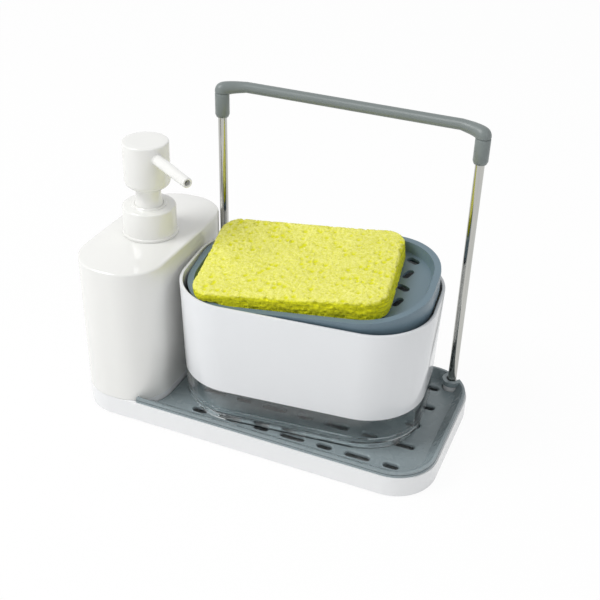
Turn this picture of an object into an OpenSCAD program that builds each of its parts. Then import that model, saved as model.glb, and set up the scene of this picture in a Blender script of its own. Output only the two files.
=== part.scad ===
// Soap pump caddy. A long base tray carries a tall bottle with a hand pump at its left end.
// A drain plate fills the rest of the tray. A soap dispenser stands on the plate, a clear tank
// under a white sleeve, with a sponge tray on top that pumps soap when it is pressed down.
// A towel rail on two rods stands along the back.
// Millimetres, Z up, origin on the table under the middle of the base.

/* [Base tray] */
// Overall length of the caddy
base_l = 212; // [200:1:230]
// Overall depth of the caddy
base_w = 104.3; // [98:0.1:112]
// Corner radius of the base seen from above
base_r = 24; // [20:0.5:27]
// Height of the base rim above the table
base_h = 13; // [12:0.5:15]
// Wall thickness of the base
base_wall = 2.4; // [2:0.1:2.8]
// Floor thickness of the base
base_floor = 2; // [1.6:0.1:2.4]
// Diameter of a rubber foot
foot_d = 10; // [8:0.5:14]
// How far a foot stands below the base
foot_proud = 1; // [0.6:0.1:1.4]
// How deep a foot sits in its recess
foot_inset = 0.8; // [0.5:0.1:1.2]
// Distance from the ends and sides of the base to the middle of a foot
foot_edge = 26; // [22:1:32]

/* [Drain plate] */
// How far the plate's edge is set in from the base's edge
plate_in = 1; // [0.6:0.1:1.6]
// Height of the plate's rim above the base rim
plate_rim = 3; // [2.4:0.1:4]
// How far the plate's floor lies below the base rim
plate_sink = 3; // [2:0.1:3.6]
// Thickness of the plate's floor
plate_t = 2; // [1.4:0.1:2.4]
// Width of the plate's front from its edge to the floor line
plate_front = 9.2; // [7:0.1:11]
// Width of the plate's right end from its edge to the floor line
plate_end = 6.6; // [5:0.1:9]
// Width of the plate's back from its edge to the floor line
plate_back = 3.6; // [3.2:0.1:5]
// Width of the flat top of the rim
plate_top = 1.4; // [1:0.1:1.8]
// Height of the lip under the groove
lip_h = 1.3; // [1:0.1:1.6]
// Height of the groove round the rim
groove_h = 0.5; // [0.3:0.1:0.8]
// Depth of the groove round the rim
groove_in = 0.6; // [0.3:0.1:0.8]
// Corner radius of the plate's floor
plate_floor_r = 15; // [12:0.5:20]
// Width of a drain slot
slot_w = 4.2; // [3:0.1:5]
// Length of a short drain slot
slot_short = 8.7; // [6:0.1:11]
// Length of a long drain slot
slot_long = 14.2; // [12:0.1:16]
// Spacing of the slots along the plate
slot_dx = 19.1; // [18:0.1:20]
// Spacing of the slot rows
slot_dy = 19; // [17:0.1:20]
// Room between a rod and the notch that the plate has for it
notch_gap = 0.75; // [0.6:0.05:1]
// Width of the way out of the right notch to the plate's edge
notch_w = 5.2; // [4:0.1:5.6]

/* [Towel rail] */
// Diameter of a rod
rod_d = 5.1; // [4:0.1:6]
// Distance from the back edge of the base to the rods
rod_edge = 8.25; // [7.5:0.05:10]
// How far the left rod stands in under the bottle's right side line
rod_left_in = 0.8; // [0:0.1:1.2]
// Distance from the right end of the base to the right rod
rod_right_in = 12.3; // [11:0.1:15]
// Wall of the sockets in the base that hold the rods
boss_wall = 2.1; // [1.4:0.1:2.6]
// Overall height of the rail above the table
rack_h = 174.3; // [164:0.2:185]
// Diameter of the towel bar
bar_d = 6.1; // [5.6:0.1:7.4]
// How far the bar stands behind the rods
bar_back = 5.05; // [3:0.05:5.05]
// Diameter of the bar's sockets on the rods
socket_d = 8.2; // [7.6:0.05:9]
// Height of the bar's sockets below the top of the rail
socket_len = 20.8; // [16:0.2:26]
// Height of the slope under a socket
socket_slope = 1.6; // [1:0.1:3]
// Sweep of the left elbow along the bar
elbow_left = 13; // [9:0.5:14]
// Sweep of the right elbow along the bar
elbow_right = 13; // [12:0.5:18]
// How far a rod reaches into its socket
rod_in = 12.2; // [9:0.1:14]

/* [Pump bottle] */
// Length of the bottle along the caddy
bottle_l = 51.2; // [48:0.1:54]
// Height of the bottle above the base rim
bottle_h = 82.8; // [76:0.1:92]
// Radius of the bottle's two right corners
bottle_r = 22.5; // [21:0.5:24]
// Wall thickness of the bottle
bottle_wall = 1.6; // [1.2:0.1:2]
// Size of the narrow slope round the bottle's top edge
bottle_edge = 0.9; // [0.5:0.1:1.4]
// How far the foot of the bottle is set in from its sides
plug_in = 3.2; // [3:0.1:4]
// Room under the foot of the bottle
plug_rise = 0.5; // [0.3:0.1:1]
// Outer diameter of the neck
neck_d = 26.5; // [25:0.1:27]
// Inner diameter of the neck
neck_bore = 21; // [20.6:0.1:22]
// Height of the neck
neck_h = 12.2; // [10:0.1:14]

/* [Hand pump] */
// Outer diameter of the collar
collar_d = 30.4; // [30:0.1:31.4]
// Thickness of the collar's top
collar_top = 2.2; // [1.6:0.1:2.6]
// Diameter of the lip round the collar's foot
collar_lip_d = 32; // [31.6:0.1:33]
// Height of that lip
collar_lip_h = 1.7; // [1.2:0.1:2.2]
// Size of the slope round the collar's top edge
collar_edge = 0.8; // [0.4:0.1:1.2]
// Diameter of the raised ring on the collar's top
ring_d = 20; // [18.6:0.1:22]
// Height of that ring
ring_h = 0.8; // [0.4:0.1:1]
// Thickness of the gasket on the neck
gasket_t = 1; // [0.6:0.1:1.4]
// Thickness of the pump's flange
flange_t = 1.8; // [1.2:0.1:2.2]
// Outer diameter of the pump's housing
housing_d = 19.8; // [19.4:0.1:20]
// Inner diameter of the pump's housing
housing_bore = 17.4; // [17.2:0.1:17.8]
// Length of the housing from the flange's top to its floor
housing_len = 36.8; // [33:0.1:40]
// Thickness of the housing's floor
housing_floor = 2; // [1.5:0.1:3]
// Diameter of the hole in that floor
inlet_d = 4.4; // [3.6:0.1:5]
// Diameter of the valve ball
ball_d = 6; // [5.6:0.1:7]
// Outer diameter of the dip tube
tube_d = 6; // [5:0.1:6.6]
// Inner diameter of the dip tube
tube_bore = 4; // [3:0.1:4.4]
// Outer diameter of the holder of the dip tube
spigot_d = 9.2; // [8.6:0.1:10]
// Length of that holder
spigot_len = 8; // [6:0.1:10]
// Room under the dip tube
tube_rise = 2; // [1.5:0.1:4]
// Height of the piston
piston_h = 6; // [5:0.1:8]
// Diameter of the soap way in the piston
piston_bore = 6; // [5:0.1:8]
// Outer diameter of the stem under the head
stem_d = 16.4; // [15.8:0.1:16.6]
// Inner diameter of that stem
stem_bore = 12; // [10:0.1:13]
// Height of the stem seen between collar and head
stem_show = 11.5; // [11:0.1:14]
// Diameter of the head
head_d = 26; // [24:0.1:28]
// Height of the head
head_h = 26.5; // [24:0.1:30]
// Rounding of the head's lower edge
head_round = 4; // [2:0.1:4.4]
// Rounding of the head's top edge
head_edge = 0.9; // [0.5:0.1:1.5]
// Diameter of the soap way up the head
head_bore = 6; // [5:0.1:7]
// Height of the spout's root above the head's underside
spout_z = 20; // [18:0.1:21]
// Diameter of the spout at its root
spout_d = 6.4; // [5.6:0.1:6.6]
// Diameter of the spout at its tip
tip_d = 5.6; // [4.8:0.1:5.6]
// Bore of the spout
spout_bore = 3.4; // [2.4:0.1:3.8]
// Reach of the spout from the pump's axis
spout_reach = 44.8; // [38:0.1:46]
// Direction of the spout in degrees from straight right, to the front
spout_turn = 31; // [20:1:45]
// Fall of the spout in degrees
spout_fall = 2; // [0:0.5:4]
// How deep the spout sits in the head
spout_in = 5; // [4:0.1:6]
// Diameter of the ring at the spout's root
root_d = 7.8; // [7.6:0.1:8.6]
// How far that ring stands out of the head
root_out = 1; // [0.5:0.1:1.5]
// Mean diameter of the pump's spring
spring_d = 11; // [9.6:0.1:12]
// Diameter of the spring's wire
spring_wire = 1.2; // [0.8:0.1:1.4]
// Number of coils of the spring
spring_coils = 8; // [6:1:9]

/* [Soap tank] */
// Turn of the dispenser on the plate in degrees
disp_yaw = 5.7; // [4:0.1:7]
// Least gap between the dispenser and the bottle
disp_gap = 1.8; // [0.8:0.1:2.4]
// How far the dispenser stands behind the middle of the base
disp_back = 2.4; // [1:0.1:2.5]
// How far the tank's ends are set in from the sleeve's lower edge
tank_end_in = 0.3; // [0.2:0.1:0.8]
// How far the tank's sides are set in from the sleeve's sides
tank_side_in = 1.1; // [0.5:0.1:1.5]
// Flat stretch in the middle of the tank's ends
tank_flat = 20.8; // [18:0.2:24]
// How far the tank narrows at its foot at each end
foot_end_in = 1.2; // [0.5:0.1:3]
// How far the tank narrows at its foot at each side
foot_side_in = 3; // [2:0.1:4]
// Height of the tank up to its shoulder
tank_h = 23.4; // [21:0.1:28]
// Height of the rounded foot of the tank
tank_foot_h = 5.6; // [5.4:0.1:6.4]
// Height of a groove round the tank
tank_groove_h = 0.7; // [0.5:0.1:1]
// Depth of that groove
tank_groove_in = 0.5; // [0.3:0.1:0.7]
// Spacing of the grooves
tank_groove_dz = 2.6; // [2:0.1:3]
// Wall thickness of the tank
tank_wall = 2; // [1.6:0.1:2.4]
// Floor thickness of the tank
tank_floor = 2.2; // [1.6:0.1:3]
// Height of the tank's neck inside the sleeve
tank_neck_h = 6.6; // [5.6:0.1:8]

/* [Sleeve and deck] */
// What the length of the sleeve's upper edge leaves free beside the bottle
sleeve_end_room = 18.8; // [17:0.1:20]
// How far each end of the sleeve leans in at its lower edge
sleeve_lean = 1.7; // [1:0.1:2]
// What the sleeve's depth leaves free at each side of the base
sleeve_side_room = 7.65; // [7.4:0.05:8]
// Flat stretch in the middle of the sleeve's ends
sleeve_flat = 21; // [18:0.2:26]
// Height of the sleeve
sleeve_h = 53.8; // [50:0.1:58]
// Wall thickness of the sleeve
sleeve_wall = 1.8; // [1.5:0.1:2]
// Width of the ledge inside the sleeve
ledge_w = 3; // [2.4:0.1:4]
// Thickness of that ledge
ledge_t = 2; // [1.4:0.1:3]
// Thickness of the deck over the tank
deck_t = 2.4; // [1.8:0.1:3]
// Height of the deck's skirt in the tank's neck
skirt_h = 4; // [3:0.1:5]
// Thickness of that skirt
skirt_t = 1.5; // [1.2:0.1:2]

/* [Press pump] */
// Outer diameter of the housing
press_d = 16; // [15:0.1:17]
// Inner diameter of the housing
press_bore = 13; // [12.6:0.1:13.4]
// Diameter of the housing's flange on the deck
press_flange_d = 21; // [20:0.1:23]
// Thickness of that flange
press_flange_t = 1.6; // [1.2:0.1:2]
// Height of the housing's floor above the tank's floor
press_foot = 7.8; // [7:0.1:8.6]
// Thickness of the housing's floor
press_floor_t = 2; // [1.5:0.1:2.4]
// Diameter of the hole in that floor
press_inlet_d = 3; // [2.6:0.1:3.4]
// Diameter of the valve ball
press_ball_d = 4.4; // [4:0.1:5]
// Outer diameter of the short dip tube
press_tube_d = 4.8; // [4:0.1:5.2]
// Inner diameter of that tube
press_tube_bore = 3; // [2.4:0.1:3.2]
// Outer diameter of the tube's holder
press_spigot_d = 8; // [7.4:0.1:9]
// Length of that holder
press_spigot_len = 3.5; // [3:0.1:4]
// Room under the short dip tube
press_tube_rise = 1; // [0.8:0.1:1.4]
// Height of the piston
press_piston_h = 5; // [4:0.1:6]
// Diameter of the stem
press_stem_d = 7; // [6.4:0.1:7.6]
// Bore of the stem
press_stem_bore = 3.6; // [3:0.1:4]
// Diameter of the collar
press_collar_d = 25; // [24:0.1:27]
// Thickness of the collar
press_collar_t = 3; // [2:0.1:4]
// Diameter of the hub on the collar
press_hub_d = 12; // [11:0.1:14]
// Height of that hub
press_hub_h = 3; // [2:0.1:4]
// Mean diameter of the spring
press_spring_d = 9.2; // [8.6:0.1:10]
// Diameter of the spring's wire
press_wire = 1; // [0.8:0.1:1.1]
// Number of coils of the spring
press_coils = 6; // [4:1:7]

/* [Sponge tray] */
// Room between each end of the tray and the sleeve
tray_end_gap = 0.75; // [0.6:0.05:1.6]
// Room between each side of the tray and the sleeve
tray_side_gap = 0.4; // [0.3:0.05:1]
// Flat stretch in the middle of the ends of the tray's opening
tray_flat = 13.6; // [11:0.2:17]
// Width of the tray's rim
tray_rim = 3.5; // [3:0.1:3.6]
// Thickness of the rim
tray_lip = 1.5; // [1.2:0.1:2]
// Depth of the tray
tray_depth = 5.5; // [5:0.1:7]
// Slope of the tray's sides from the opening to the floor
tray_slope = 2; // [1.6:0.1:2.6]
// Thickness of the tray
tray_t = 1.6; // [1.3:0.1:2]
// Depth of the skirt round the tray
tray_skirt = 13; // [11:0.2:15]
// How far the skirt leans in at its lower edge
tray_lean = 1.2; // [0.6:0.1:2]
// Height of the middle of the opening above the sleeve
tray_up = 5.3; // [4:0.1:7]
// Rise of the tray's right end in degrees
tray_roll = 5.7; // [4:0.1:6]
// Rise of the tray's back in degrees
tray_pitch = 5.5; // [4:0.1:6]
// Diameter of the boss under the tray
tray_boss_d = 13; // [12:0.1:15]
// Length of that boss under the tray's floor
tray_boss_h = 8; // [7:0.1:9]
// Depth of the stem in the boss
tray_stem_in = 5; // [4:0.1:6]
// Diameter of the nozzle
nozzle_d = 8; // [7:0.1:9]
// Thickness of the nozzle
nozzle_t = 1.8; // [1.4:0.1:2.4]
// Length of a drain hole
leaf_l = 8.4; // [7:0.1:9]
// Width of a drain hole
leaf_w = 4.4; // [3.6:0.1:4.8]
// Spacing of the drain holes along the tray
leaf_dx = 14.2; // [13:0.1:14.4]
// Spacing of the drain holes across the tray
leaf_dy = 13; // [12:0.1:13.2]
// Turn of every other drain hole in degrees
leaf_turn_a = -33; // [-45:1:0]
// Turn of the holes between them in degrees
leaf_turn_b = 68; // [45:1:90]

/* [Sponge] */
// How much shorter the sponge is than the tray's opening
sponge_end_room = 23.3; // [21.5:0.1:28]
// How much narrower the sponge is than the tray's opening
sponge_side_room = 6.6; // [6:0.1:9]
// Corner radius of the sponge
sponge_r = 12; // [8:0.5:16]
// Height of the sponge's top above the tray's rim
sponge_up = 6.5; // [5:0.1:8]
// Turn of the sponge in the tray in degrees
sponge_turn = 3.4; // [0:0.1:4]
// How far the sponge lies to the left of the tray's middle
sponge_left = 6.7; // [4:0.1:7]
// Rounding of the sponge's edges
sponge_edge = 1.2; // [0.8:0.1:2]

/* [Fits] */
// Room round sliding parts such as rods, stems and pistons
slide_gap = 0.06; // [0.02:0.01:0.1]
// Room round parts pressed into one another
press_gap = 0.02; // [0.01:0.01:0.05]
// Room between the collar and the neck
thread_gap = 0.1; // [0.05:0.01:0.2]
// Room round the drain plate
plate_gap = 0.4; // [0.3:0.05:0.6]
// Room round soft parts and loosely set parts
soft_gap = 0.3; // [0.3:0.05:0.5]
// Room between a valve ball or a spring and its seat
seat_gap = 0.02; // [0.01:0.01:0.04]

/* [Hidden] */
$fn = 64;
// Thickness of the thin sheets that a sloping form is drawn between
sheet = 0.05;
// How far a cut runs past a face
overrun = 0.5;
// Shares of the run of an elbow, along the bar, backward and upward
elbow_shares = [[0, 0, 0], [0.14, 0.16, 0.72], [0.5, 0.68, 1], [1, 1, 1]];
// Shares of the way from the socket's radius to the bar's radius
elbow_r_shares = [0, 0.3, 0.7, 1];
// Share of a slot's spacing from the left rod to the first column of slots
slot_first_share = 1.28;
// Share of the rod's diameter that the plate's pads round the rods stand out by
pad_share = 0.32;
coil_steps = 20;
wire_sides = 8;
round_steps = 8;

base_z0 = foot_proud;
base_in_z = base_z0 + base_floor;
plate_z = base_h - plate_sink;
plate_z1 = base_h + plate_rim;
bottle_x0 = -base_l / 2;
bottle_x1 = bottle_x0 + bottle_l;
bottle_x = bottle_x0 + bottle_l / 2;
bottle_top = base_h + bottle_h;
plug_z = base_in_z + plug_rise;

rod_y = base_w / 2 - rod_edge;
rod_xl = bottle_x1 - rod_left_in;
rod_xr = base_l / 2 - rod_right_in;
bar_y = rod_y + bar_back;
bar_z = rack_h - bar_d / 2;
socket_z = rack_h - socket_len;
rod_top = socket_z + rod_in;
notch_d = rod_d + 2 * notch_gap;
disc_d = socket_d + 2 * pad_share * rod_d;
slot_x0 = rod_xl + slot_first_share * slot_dx;
slot_cols = floor((base_l / 2 - plate_in - plate_end - slot_x0 - slot_long / 2) / slot_dx) + 1;
slot_rows = 2 * floor((base_w / 2 - plate_in - plate_front - slot_w / 2) / slot_dy) + 1;

neck_top = bottle_top + neck_h;
flange_z = neck_top + gasket_t;
collar_in_z = flange_z + flange_t;
collar_z1 = collar_in_z + collar_top;
head_z = collar_z1 + stem_show;
housing_z = collar_in_z - housing_len;
piston_z = collar_in_z - piston_h;
tube_z = plug_z + bottle_wall + tube_rise;

sleeve_l1 = base_l - bottle_l - sleeve_end_room;
sleeve_l0 = sleeve_l1 - 2 * sleeve_lean;
sleeve_w = base_w - 2 * sleeve_side_room;
sleeve_r = (sleeve_w - sleeve_flat) / 2;
tank_l = sleeve_l0 - 2 * tank_end_in;
tank_w = sleeve_w - 2 * tank_side_in;
tank_r = (tank_w - tank_flat) / 2;
foot_l = tank_l - 2 * foot_end_in;
foot_w = tank_w - 2 * foot_side_in;
tank_z = plate_z;
tank_in_z = tank_z + tank_floor;
shoulder_z = tank_z + tank_h;
tank_neck_z = shoulder_z + tank_neck_h;
sleeve_z1 = shoulder_z + sleeve_h;
deck_z1 = tank_neck_z + deck_t;
press_top = deck_z1 + press_flange_t;
press_z = tank_in_z + press_foot;
press_piston_z = press_top - press_piston_h;
neck_l = sleeve_l0 - 2 * sleeve_wall - 2 * soft_gap;
neck_w = sleeve_w - 2 * sleeve_wall - 2 * soft_gap;
neck_r = sleeve_r - sleeve_wall - soft_gap;
disp_half = (sleeve_l1 / 2 - sleeve_r) * cos(disp_yaw) + (sleeve_w / 2 - sleeve_r) * sin(disp_yaw)
    + sleeve_r;
disp_x = bottle_x1 + disp_gap + disp_half;

tray_z = sleeve_z1 + tray_up;
tray_ll = sleeve_l1 - 2 * sleeve_wall - 2 * tray_end_gap;
tray_ww = sleeve_w - 2 * sleeve_wall - 2 * tray_side_gap;
tray_l = tray_ll - 2 * tray_rim;
tray_w = tray_ww - 2 * tray_rim;
tray_r = (tray_w - tray_flat) / 2;
tray_rr = tray_r + tray_rim;
leaf_cols = 2 * floor((tray_l / 2 - tray_slope - leaf_l / 2) / leaf_dx + 1 / 2);
leaf_rows = 2 * floor((tray_w / 2 - tray_slope - leaf_l / 2) / leaf_dy) + 1;
sponge_l = tray_l - sponge_end_room;
sponge_w = tray_w - sponge_side_room;
// Place in the tray's own frame of the point at a depth under the rim on the pump's axis
function axis_x(d) = -d * tan(tray_roll);
function axis_z(d) = axis_x(d) * sin(tray_roll) - d * cos(tray_roll);
function axis_y(d) = axis_z(d) * tan(tray_pitch);
stem_top = tray_z + axis_z(tray_depth + tray_t + tray_boss_h) / cos(tray_pitch) + tray_stem_in;

function sleeve_l(z) = sleeve_l0 + (sleeve_l1 - sleeve_l0) * (z - shoulder_z) / sleeve_h;

// Rounded rectangle about the origin
module rrect(l, w, r) {
    square([l - 2 * r, w], center = true);
    square([l, w - 2 * r], center = true);
    for (sx = [-1, 1], sy = [-1, 1])
        translate([sx * (l / 2 - r), sy * (w / 2 - r)])
            circle(r);
}

module slab(l, w, r, z, t) {
    translate([0, 0, z])
        linear_extrude(t)
            rrect(l, w, r);
}

// Straight sided form between two rounded rectangles
module tub(l0, w0, r0, z0, l1, w1, r1, z1) {
    hull() {
        slab(l0, w0, r0, z0, sheet);
        slab(l1, w1, r1, z1 - sheet, sheet);
    }
}

// Outline of the bottle, set in by a distance
module bottle_outline(inset) {
    rl = base_r - inset;
    rr = bottle_r - inset;
    x0 = bottle_x0 + inset;
    x1 = bottle_x1 - inset;
    w = base_w - 2 * inset;
    translate([x0 + rl, -w / 2])
        square([x1 - rr - x0 - rl, w]);
    translate([x0, rl - w / 2])
        square([rl, w - 2 * rl]);
    translate([x1 - rr, rr - w / 2])
        square([rr, w - 2 * rr]);
    for (s = [-1, 1]) {
        translate([x0 + rl, s * (w / 2 - rl)])
            circle(rl);
        translate([x1 - rr, s * (w / 2 - rr)])
            circle(rr);
    }
}

module tube(d, bore, z0, z1) {
    difference() {
        translate([0, 0, z0])
            cylinder(d = d, h = z1 - z0);
        translate([0, 0, z0 - overrun])
            cylinder(d = bore, h = z1 - z0 + 2 * overrun);
    }
}

// Coil spring between two heights
module coil(d, wire, coils, z0, z1) {
    rise = (z1 - z0 - wire) / coils;
    n = coils * coil_steps;
    pts = [for (i = [0:n]) let (a = 360 * i / coil_steps, zc = z0 + wire / 2 + rise * i / coil_steps)
        for (j = [0:wire_sides - 1]) let (b = 360 * j / wire_sides,
            rr = d / 2 + wire / 2 * cos(b), zz = zc + wire / 2 * sin(b))
        [rr * cos(a), rr * sin(a), zz]];
    sides = [for (i = [0:n - 1]) for (j = [0:wire_sides - 1]) let (k = (j + 1) % wire_sides)
        [i * wire_sides + j, (i + 1) * wire_sides + j, (i + 1) * wire_sides + k, i * wire_sides + k]];
    first = [for (j = [0:wire_sides - 1]) j];
    last = [for (j = [wire_sides - 1:-1:0]) n * wire_sides + j];
    polyhedron(points = pts, faces = concat(sides, [first, last]));
}

module at_bottle() {
    translate([bottle_x, 0, 0])
        children();
}

module at_disp() {
    translate([disp_x, disp_back, 0])
        rotate([0, 0, disp_yaw])
            children();
}

// The tray's own frame, with the middle of its opening at the origin
module at_tray() {
    at_disp()
        translate([0, 0, tray_z])
            rotate([tray_pitch, 0, 0])
                rotate([0, -tray_roll, 0])
                    children();
}

module at_sponge() {
    at_tray()
        translate([-sponge_left, 0, 0])
            rotate([0, 0, sponge_turn])
                children();
}

module rod_places() {
    for (x = [rod_xl, rod_xr])
        translate([x, rod_y, 0])
            children();
}

module foot_places() {
    for (sx = [-1, 1], sy = [-1, 1])
        translate([sx * (base_l / 2 - foot_edge), sy * (base_w / 2 - foot_edge), 0])
            children();
}

// White base with a pocket for the bottle's foot, a basin under the plate and two rod sockets
module base_tray() {
    color("white")
    difference() {
        union() {
            difference() {
                slab(base_l, base_w, base_r, base_z0, base_h - base_z0);
                difference() {
                    slab(base_l - 2 * base_wall, base_w - 2 * base_wall, base_r - base_wall,
                        base_in_z, base_h);
                    translate([0, 0, base_z0])
                        linear_extrude(base_h)
                            bottle_outline(0);
                }
                translate([0, 0, base_in_z])
                    linear_extrude(base_h)
                        bottle_outline(base_wall);
            }
            rod_places()
                translate([0, 0, base_z0])
                    cylinder(d = rod_d + 2 * slide_gap + 2 * boss_wall, h = base_h - base_z0);
        }
        rod_places()
            translate([0, 0, base_in_z])
                cylinder(d = rod_d + 2 * slide_gap, h = base_h);
        foot_places()
            translate([0, 0, base_z0 - overrun])
                cylinder(d = foot_d + 2 * press_gap, h = foot_inset + overrun);
    }
}

module base_feet() {
    color("dimgray")
    foot_places()
        cylinder(d = foot_d, h = foot_proud + foot_inset);
}

module slot(l) {
    square([l - slot_w, slot_w], center = true);
    for (s = [-1, 1])
        translate([s * (l - slot_w) / 2, 0])
            circle(d = slot_w);
}

// Ring of the plate over the base rim, set in by a distance
module plate_band(inset, z, t) {
    slab(base_l - 2 * plate_in - 2 * inset, base_w - 2 * plate_in - 2 * inset,
        base_r - plate_in - inset, z, t);
}

module plate_bands() {
    plate_band(0, base_h, lip_h);
    plate_band(groove_in, base_h + lip_h, groove_h);
    plate_band(0, base_h + lip_h + groove_h, plate_rim - lip_h - groove_h);
}

// Grey plate with a sunk floor, drain slots and a notch at each rod
module drain_plate() {
    edge_x = base_l / 2 - plate_in;
    edge_y = base_w / 2 - plate_in;
    pan = base_wall + plate_gap;
    floor_x1 = edge_x - plate_end;
    floor_y0 = plate_front - edge_y;
    floor_y1 = edge_y - plate_back;
    floor_l = floor_x1 - bottle_x;
    top_x1 = edge_x - plate_top;
    top_l = top_x1 - bottle_x;
    top_w = 2 * edge_y - 2 * plate_top;
    color("slategray")
    difference() {
        union() {
            difference() {
                union() {
                    slab(base_l - 2 * pan, base_w - 2 * pan, base_r - pan, plate_z - plate_t,
                        base_h - plate_z + plate_t);
                    plate_bands();
                }
                hull() {
                    translate([bottle_x + floor_l / 2, (floor_y0 + floor_y1) / 2, 0])
                        slab(floor_l, floor_y1 - floor_y0, plate_floor_r, plate_z, sheet);
                    translate([bottle_x + top_l / 2, 0, 0])
                        slab(top_l, top_w, base_r - plate_in - plate_top, plate_z1, overrun);
                }
            }
            intersection() {
                plate_bands();
                rod_places()
                    cylinder(d = disc_d, h = rack_h);
            }
        }
        translate([0, 0, base_z0])
            linear_extrude(rack_h)
                bottle_outline(-plate_gap);
        translate([bottle_x0 - overrun, -base_w, 0])
            cube([bottle_l - bottle_r + overrun + base_r / 2, 2 * base_w, rack_h]);
        rod_places()
            cylinder(d = notch_d, h = rack_h);
        rod_places()
            translate([0, 0, plate_z - plate_t - overrun])
                cylinder(d = rod_d + 2 * slide_gap + 2 * boss_wall + 2 * plate_gap,
                    h = base_h - plate_z + plate_t + overrun);
        translate([rod_xr, rod_y, 0])
            rotate([0, 0, -45])
                translate([-notch_w / 2, 0, 0])
                    cube([notch_w, base_w, rack_h]);
        for (i = [0:slot_cols - 1], j = [0:slot_rows - 1])
            translate([slot_x0 + i * slot_dx, (j - (slot_rows - 1) / 2) * slot_dy,
                plate_z - plate_t - overrun])
                linear_extrude(plate_t + 2 * overrun)
                    slot((i + j) % 2 == 0 ? slot_short : slot_long);
    }
}

module rod() {
    translate([0, rod_y, base_in_z])
        cylinder(d = rod_d, h = rod_top - base_in_z);
}

module rack_rod_left() {
    color("silver")
    translate([rod_xl, 0, 0])
        rod();
}

module rack_rod_right() {
    color("silver")
    translate([rod_xr, 0, 0])
        rod();
}

// Half of the towel bar, from a rod's socket to the middle of the bar
module bar_end(x, run) {
    z0 = bar_z - socket_d / 2;
    s = x > 0 ? -1 : 1;
    steps = len(elbow_shares) - 1;
    translate([x, rod_y, socket_z])
        cylinder(d1 = rod_d + 2 * slide_gap + 2 * sheet, d2 = socket_d, h = socket_slope);
    translate([x, rod_y, socket_z + socket_slope])
        cylinder(d = socket_d, h = z0 - socket_z - socket_slope);
    for (i = [0:steps - 1])
        hull()
            for (k = [i, i + 1])
                let (r = socket_d / 2 + (bar_d - socket_d) / 2 * elbow_r_shares[k])
                    translate([x + s * run * elbow_shares[k][0],
                        rod_y + bar_back * elbow_shares[k][1],
                        z0 + (rack_h - r - z0) * elbow_shares[k][2]])
                        sphere(r = r - sheet, $fn = 32);
}

module towel_bar() {
    color("silver")
    difference() {
        union() {
            bar_end(rod_xl, elbow_left);
            bar_end(rod_xr, elbow_right);
            translate([rod_xl + elbow_left, bar_y, bar_z])
                rotate([0, 90, 0])
                    cylinder(d = bar_d, h = rod_xr - rod_xl - elbow_left - elbow_right);
        }
        rod_places()
            translate([0, 0, socket_z - overrun])
                cylinder(d = rod_d + 2 * press_gap, h = rod_in + overrun);
    }
}

// Tall hollow bottle with a foot that drops into the base and a neck for the pump
module bottle_body() {
    color("ivory")
    difference() {
        union() {
            translate([0, 0, base_h])
                linear_extrude(bottle_h - bottle_edge)
                    bottle_outline(0);
            hull() {
                translate([0, 0, bottle_top - bottle_edge - sheet])
                    linear_extrude(sheet)
                        bottle_outline(0);
                translate([0, 0, bottle_top - sheet])
                    linear_extrude(sheet)
                        bottle_outline(bottle_edge);
            }
            translate([0, 0, plug_z])
                linear_extrude(base_h - plug_z + bottle_wall)
                    bottle_outline(plug_in);
            at_bottle()
                translate([0, 0, bottle_top - bottle_wall])
                    cylinder(d = neck_d, h = neck_h + bottle_wall);
        }
        translate([0, 0, base_h + bottle_wall])
            linear_extrude(bottle_h - 2 * bottle_wall)
                bottle_outline(bottle_wall);
        translate([0, 0, plug_z + bottle_wall])
            linear_extrude(base_h - plug_z + overrun)
                bottle_outline(plug_in + bottle_wall);
        at_bottle()
            translate([0, 0, bottle_top - bottle_wall - overrun])
                cylinder(d = neck_bore, h = neck_h + bottle_wall + 2 * overrun);
    }
}

module bottle_collar() {
    color("ivory")
    at_bottle()
        difference() {
            union() {
                translate([0, 0, bottle_top])
                    cylinder(d = collar_d, h = collar_z1 - bottle_top - collar_edge);
                translate([0, 0, collar_z1 - collar_edge])
                    cylinder(d1 = collar_d, d2 = collar_d - 2 * collar_edge, h = collar_edge);
                translate([0, 0, bottle_top])
                    cylinder(d = collar_lip_d, h = collar_lip_h);
                translate([0, 0, collar_z1 - collar_edge])
                    cylinder(d = ring_d, h = ring_h + collar_edge);
            }
            translate([0, 0, bottle_top - overrun])
                cylinder(d = neck_d + 2 * thread_gap, h = collar_in_z - bottle_top + overrun);
            translate([0, 0, collar_in_z - overrun])
                cylinder(d = stem_d + 2 * slide_gap, h = collar_top + ring_h + 2 * overrun);
        }
}

module bottle_gasket() {
    color("gray")
    at_bottle()
        tube(neck_d - 2 * thread_gap, neck_bore, neck_top, flange_z);
}

module pump_housing() {
    color("white")
    at_bottle()
        difference() {
            union() {
                translate([0, 0, flange_z])
                    cylinder(d = neck_d - 2 * thread_gap, h = flange_t);
                translate([0, 0, housing_z - housing_floor])
                    cylinder(d = housing_d, h = flange_z - housing_z + housing_floor);
                translate([0, 0, housing_z - housing_floor - spigot_len])
                    cylinder(d = spigot_d, h = spigot_len + housing_floor);
            }
            translate([0, 0, housing_z])
                cylinder(d = housing_bore, h = housing_len + overrun);
            translate([0, 0, housing_z - housing_floor - overrun])
                cylinder(d = inlet_d, h = housing_floor + 2 * overrun);
            translate([0, 0, housing_z - housing_floor - spigot_len - overrun])
                cylinder(d = tube_d + 2 * press_gap, h = spigot_len + overrun);
        }
}

module pump_dip_tube() {
    color("white")
    at_bottle()
        tube(tube_d, tube_bore, tube_z, housing_z - housing_floor);
}

module pump_ball() {
    color("silver")
    at_bottle()
        translate([0, 0, housing_z + sqrt(pow(ball_d, 2) - pow(inlet_d, 2)) / 2 + seat_gap])
            sphere(d = ball_d);
}

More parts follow.
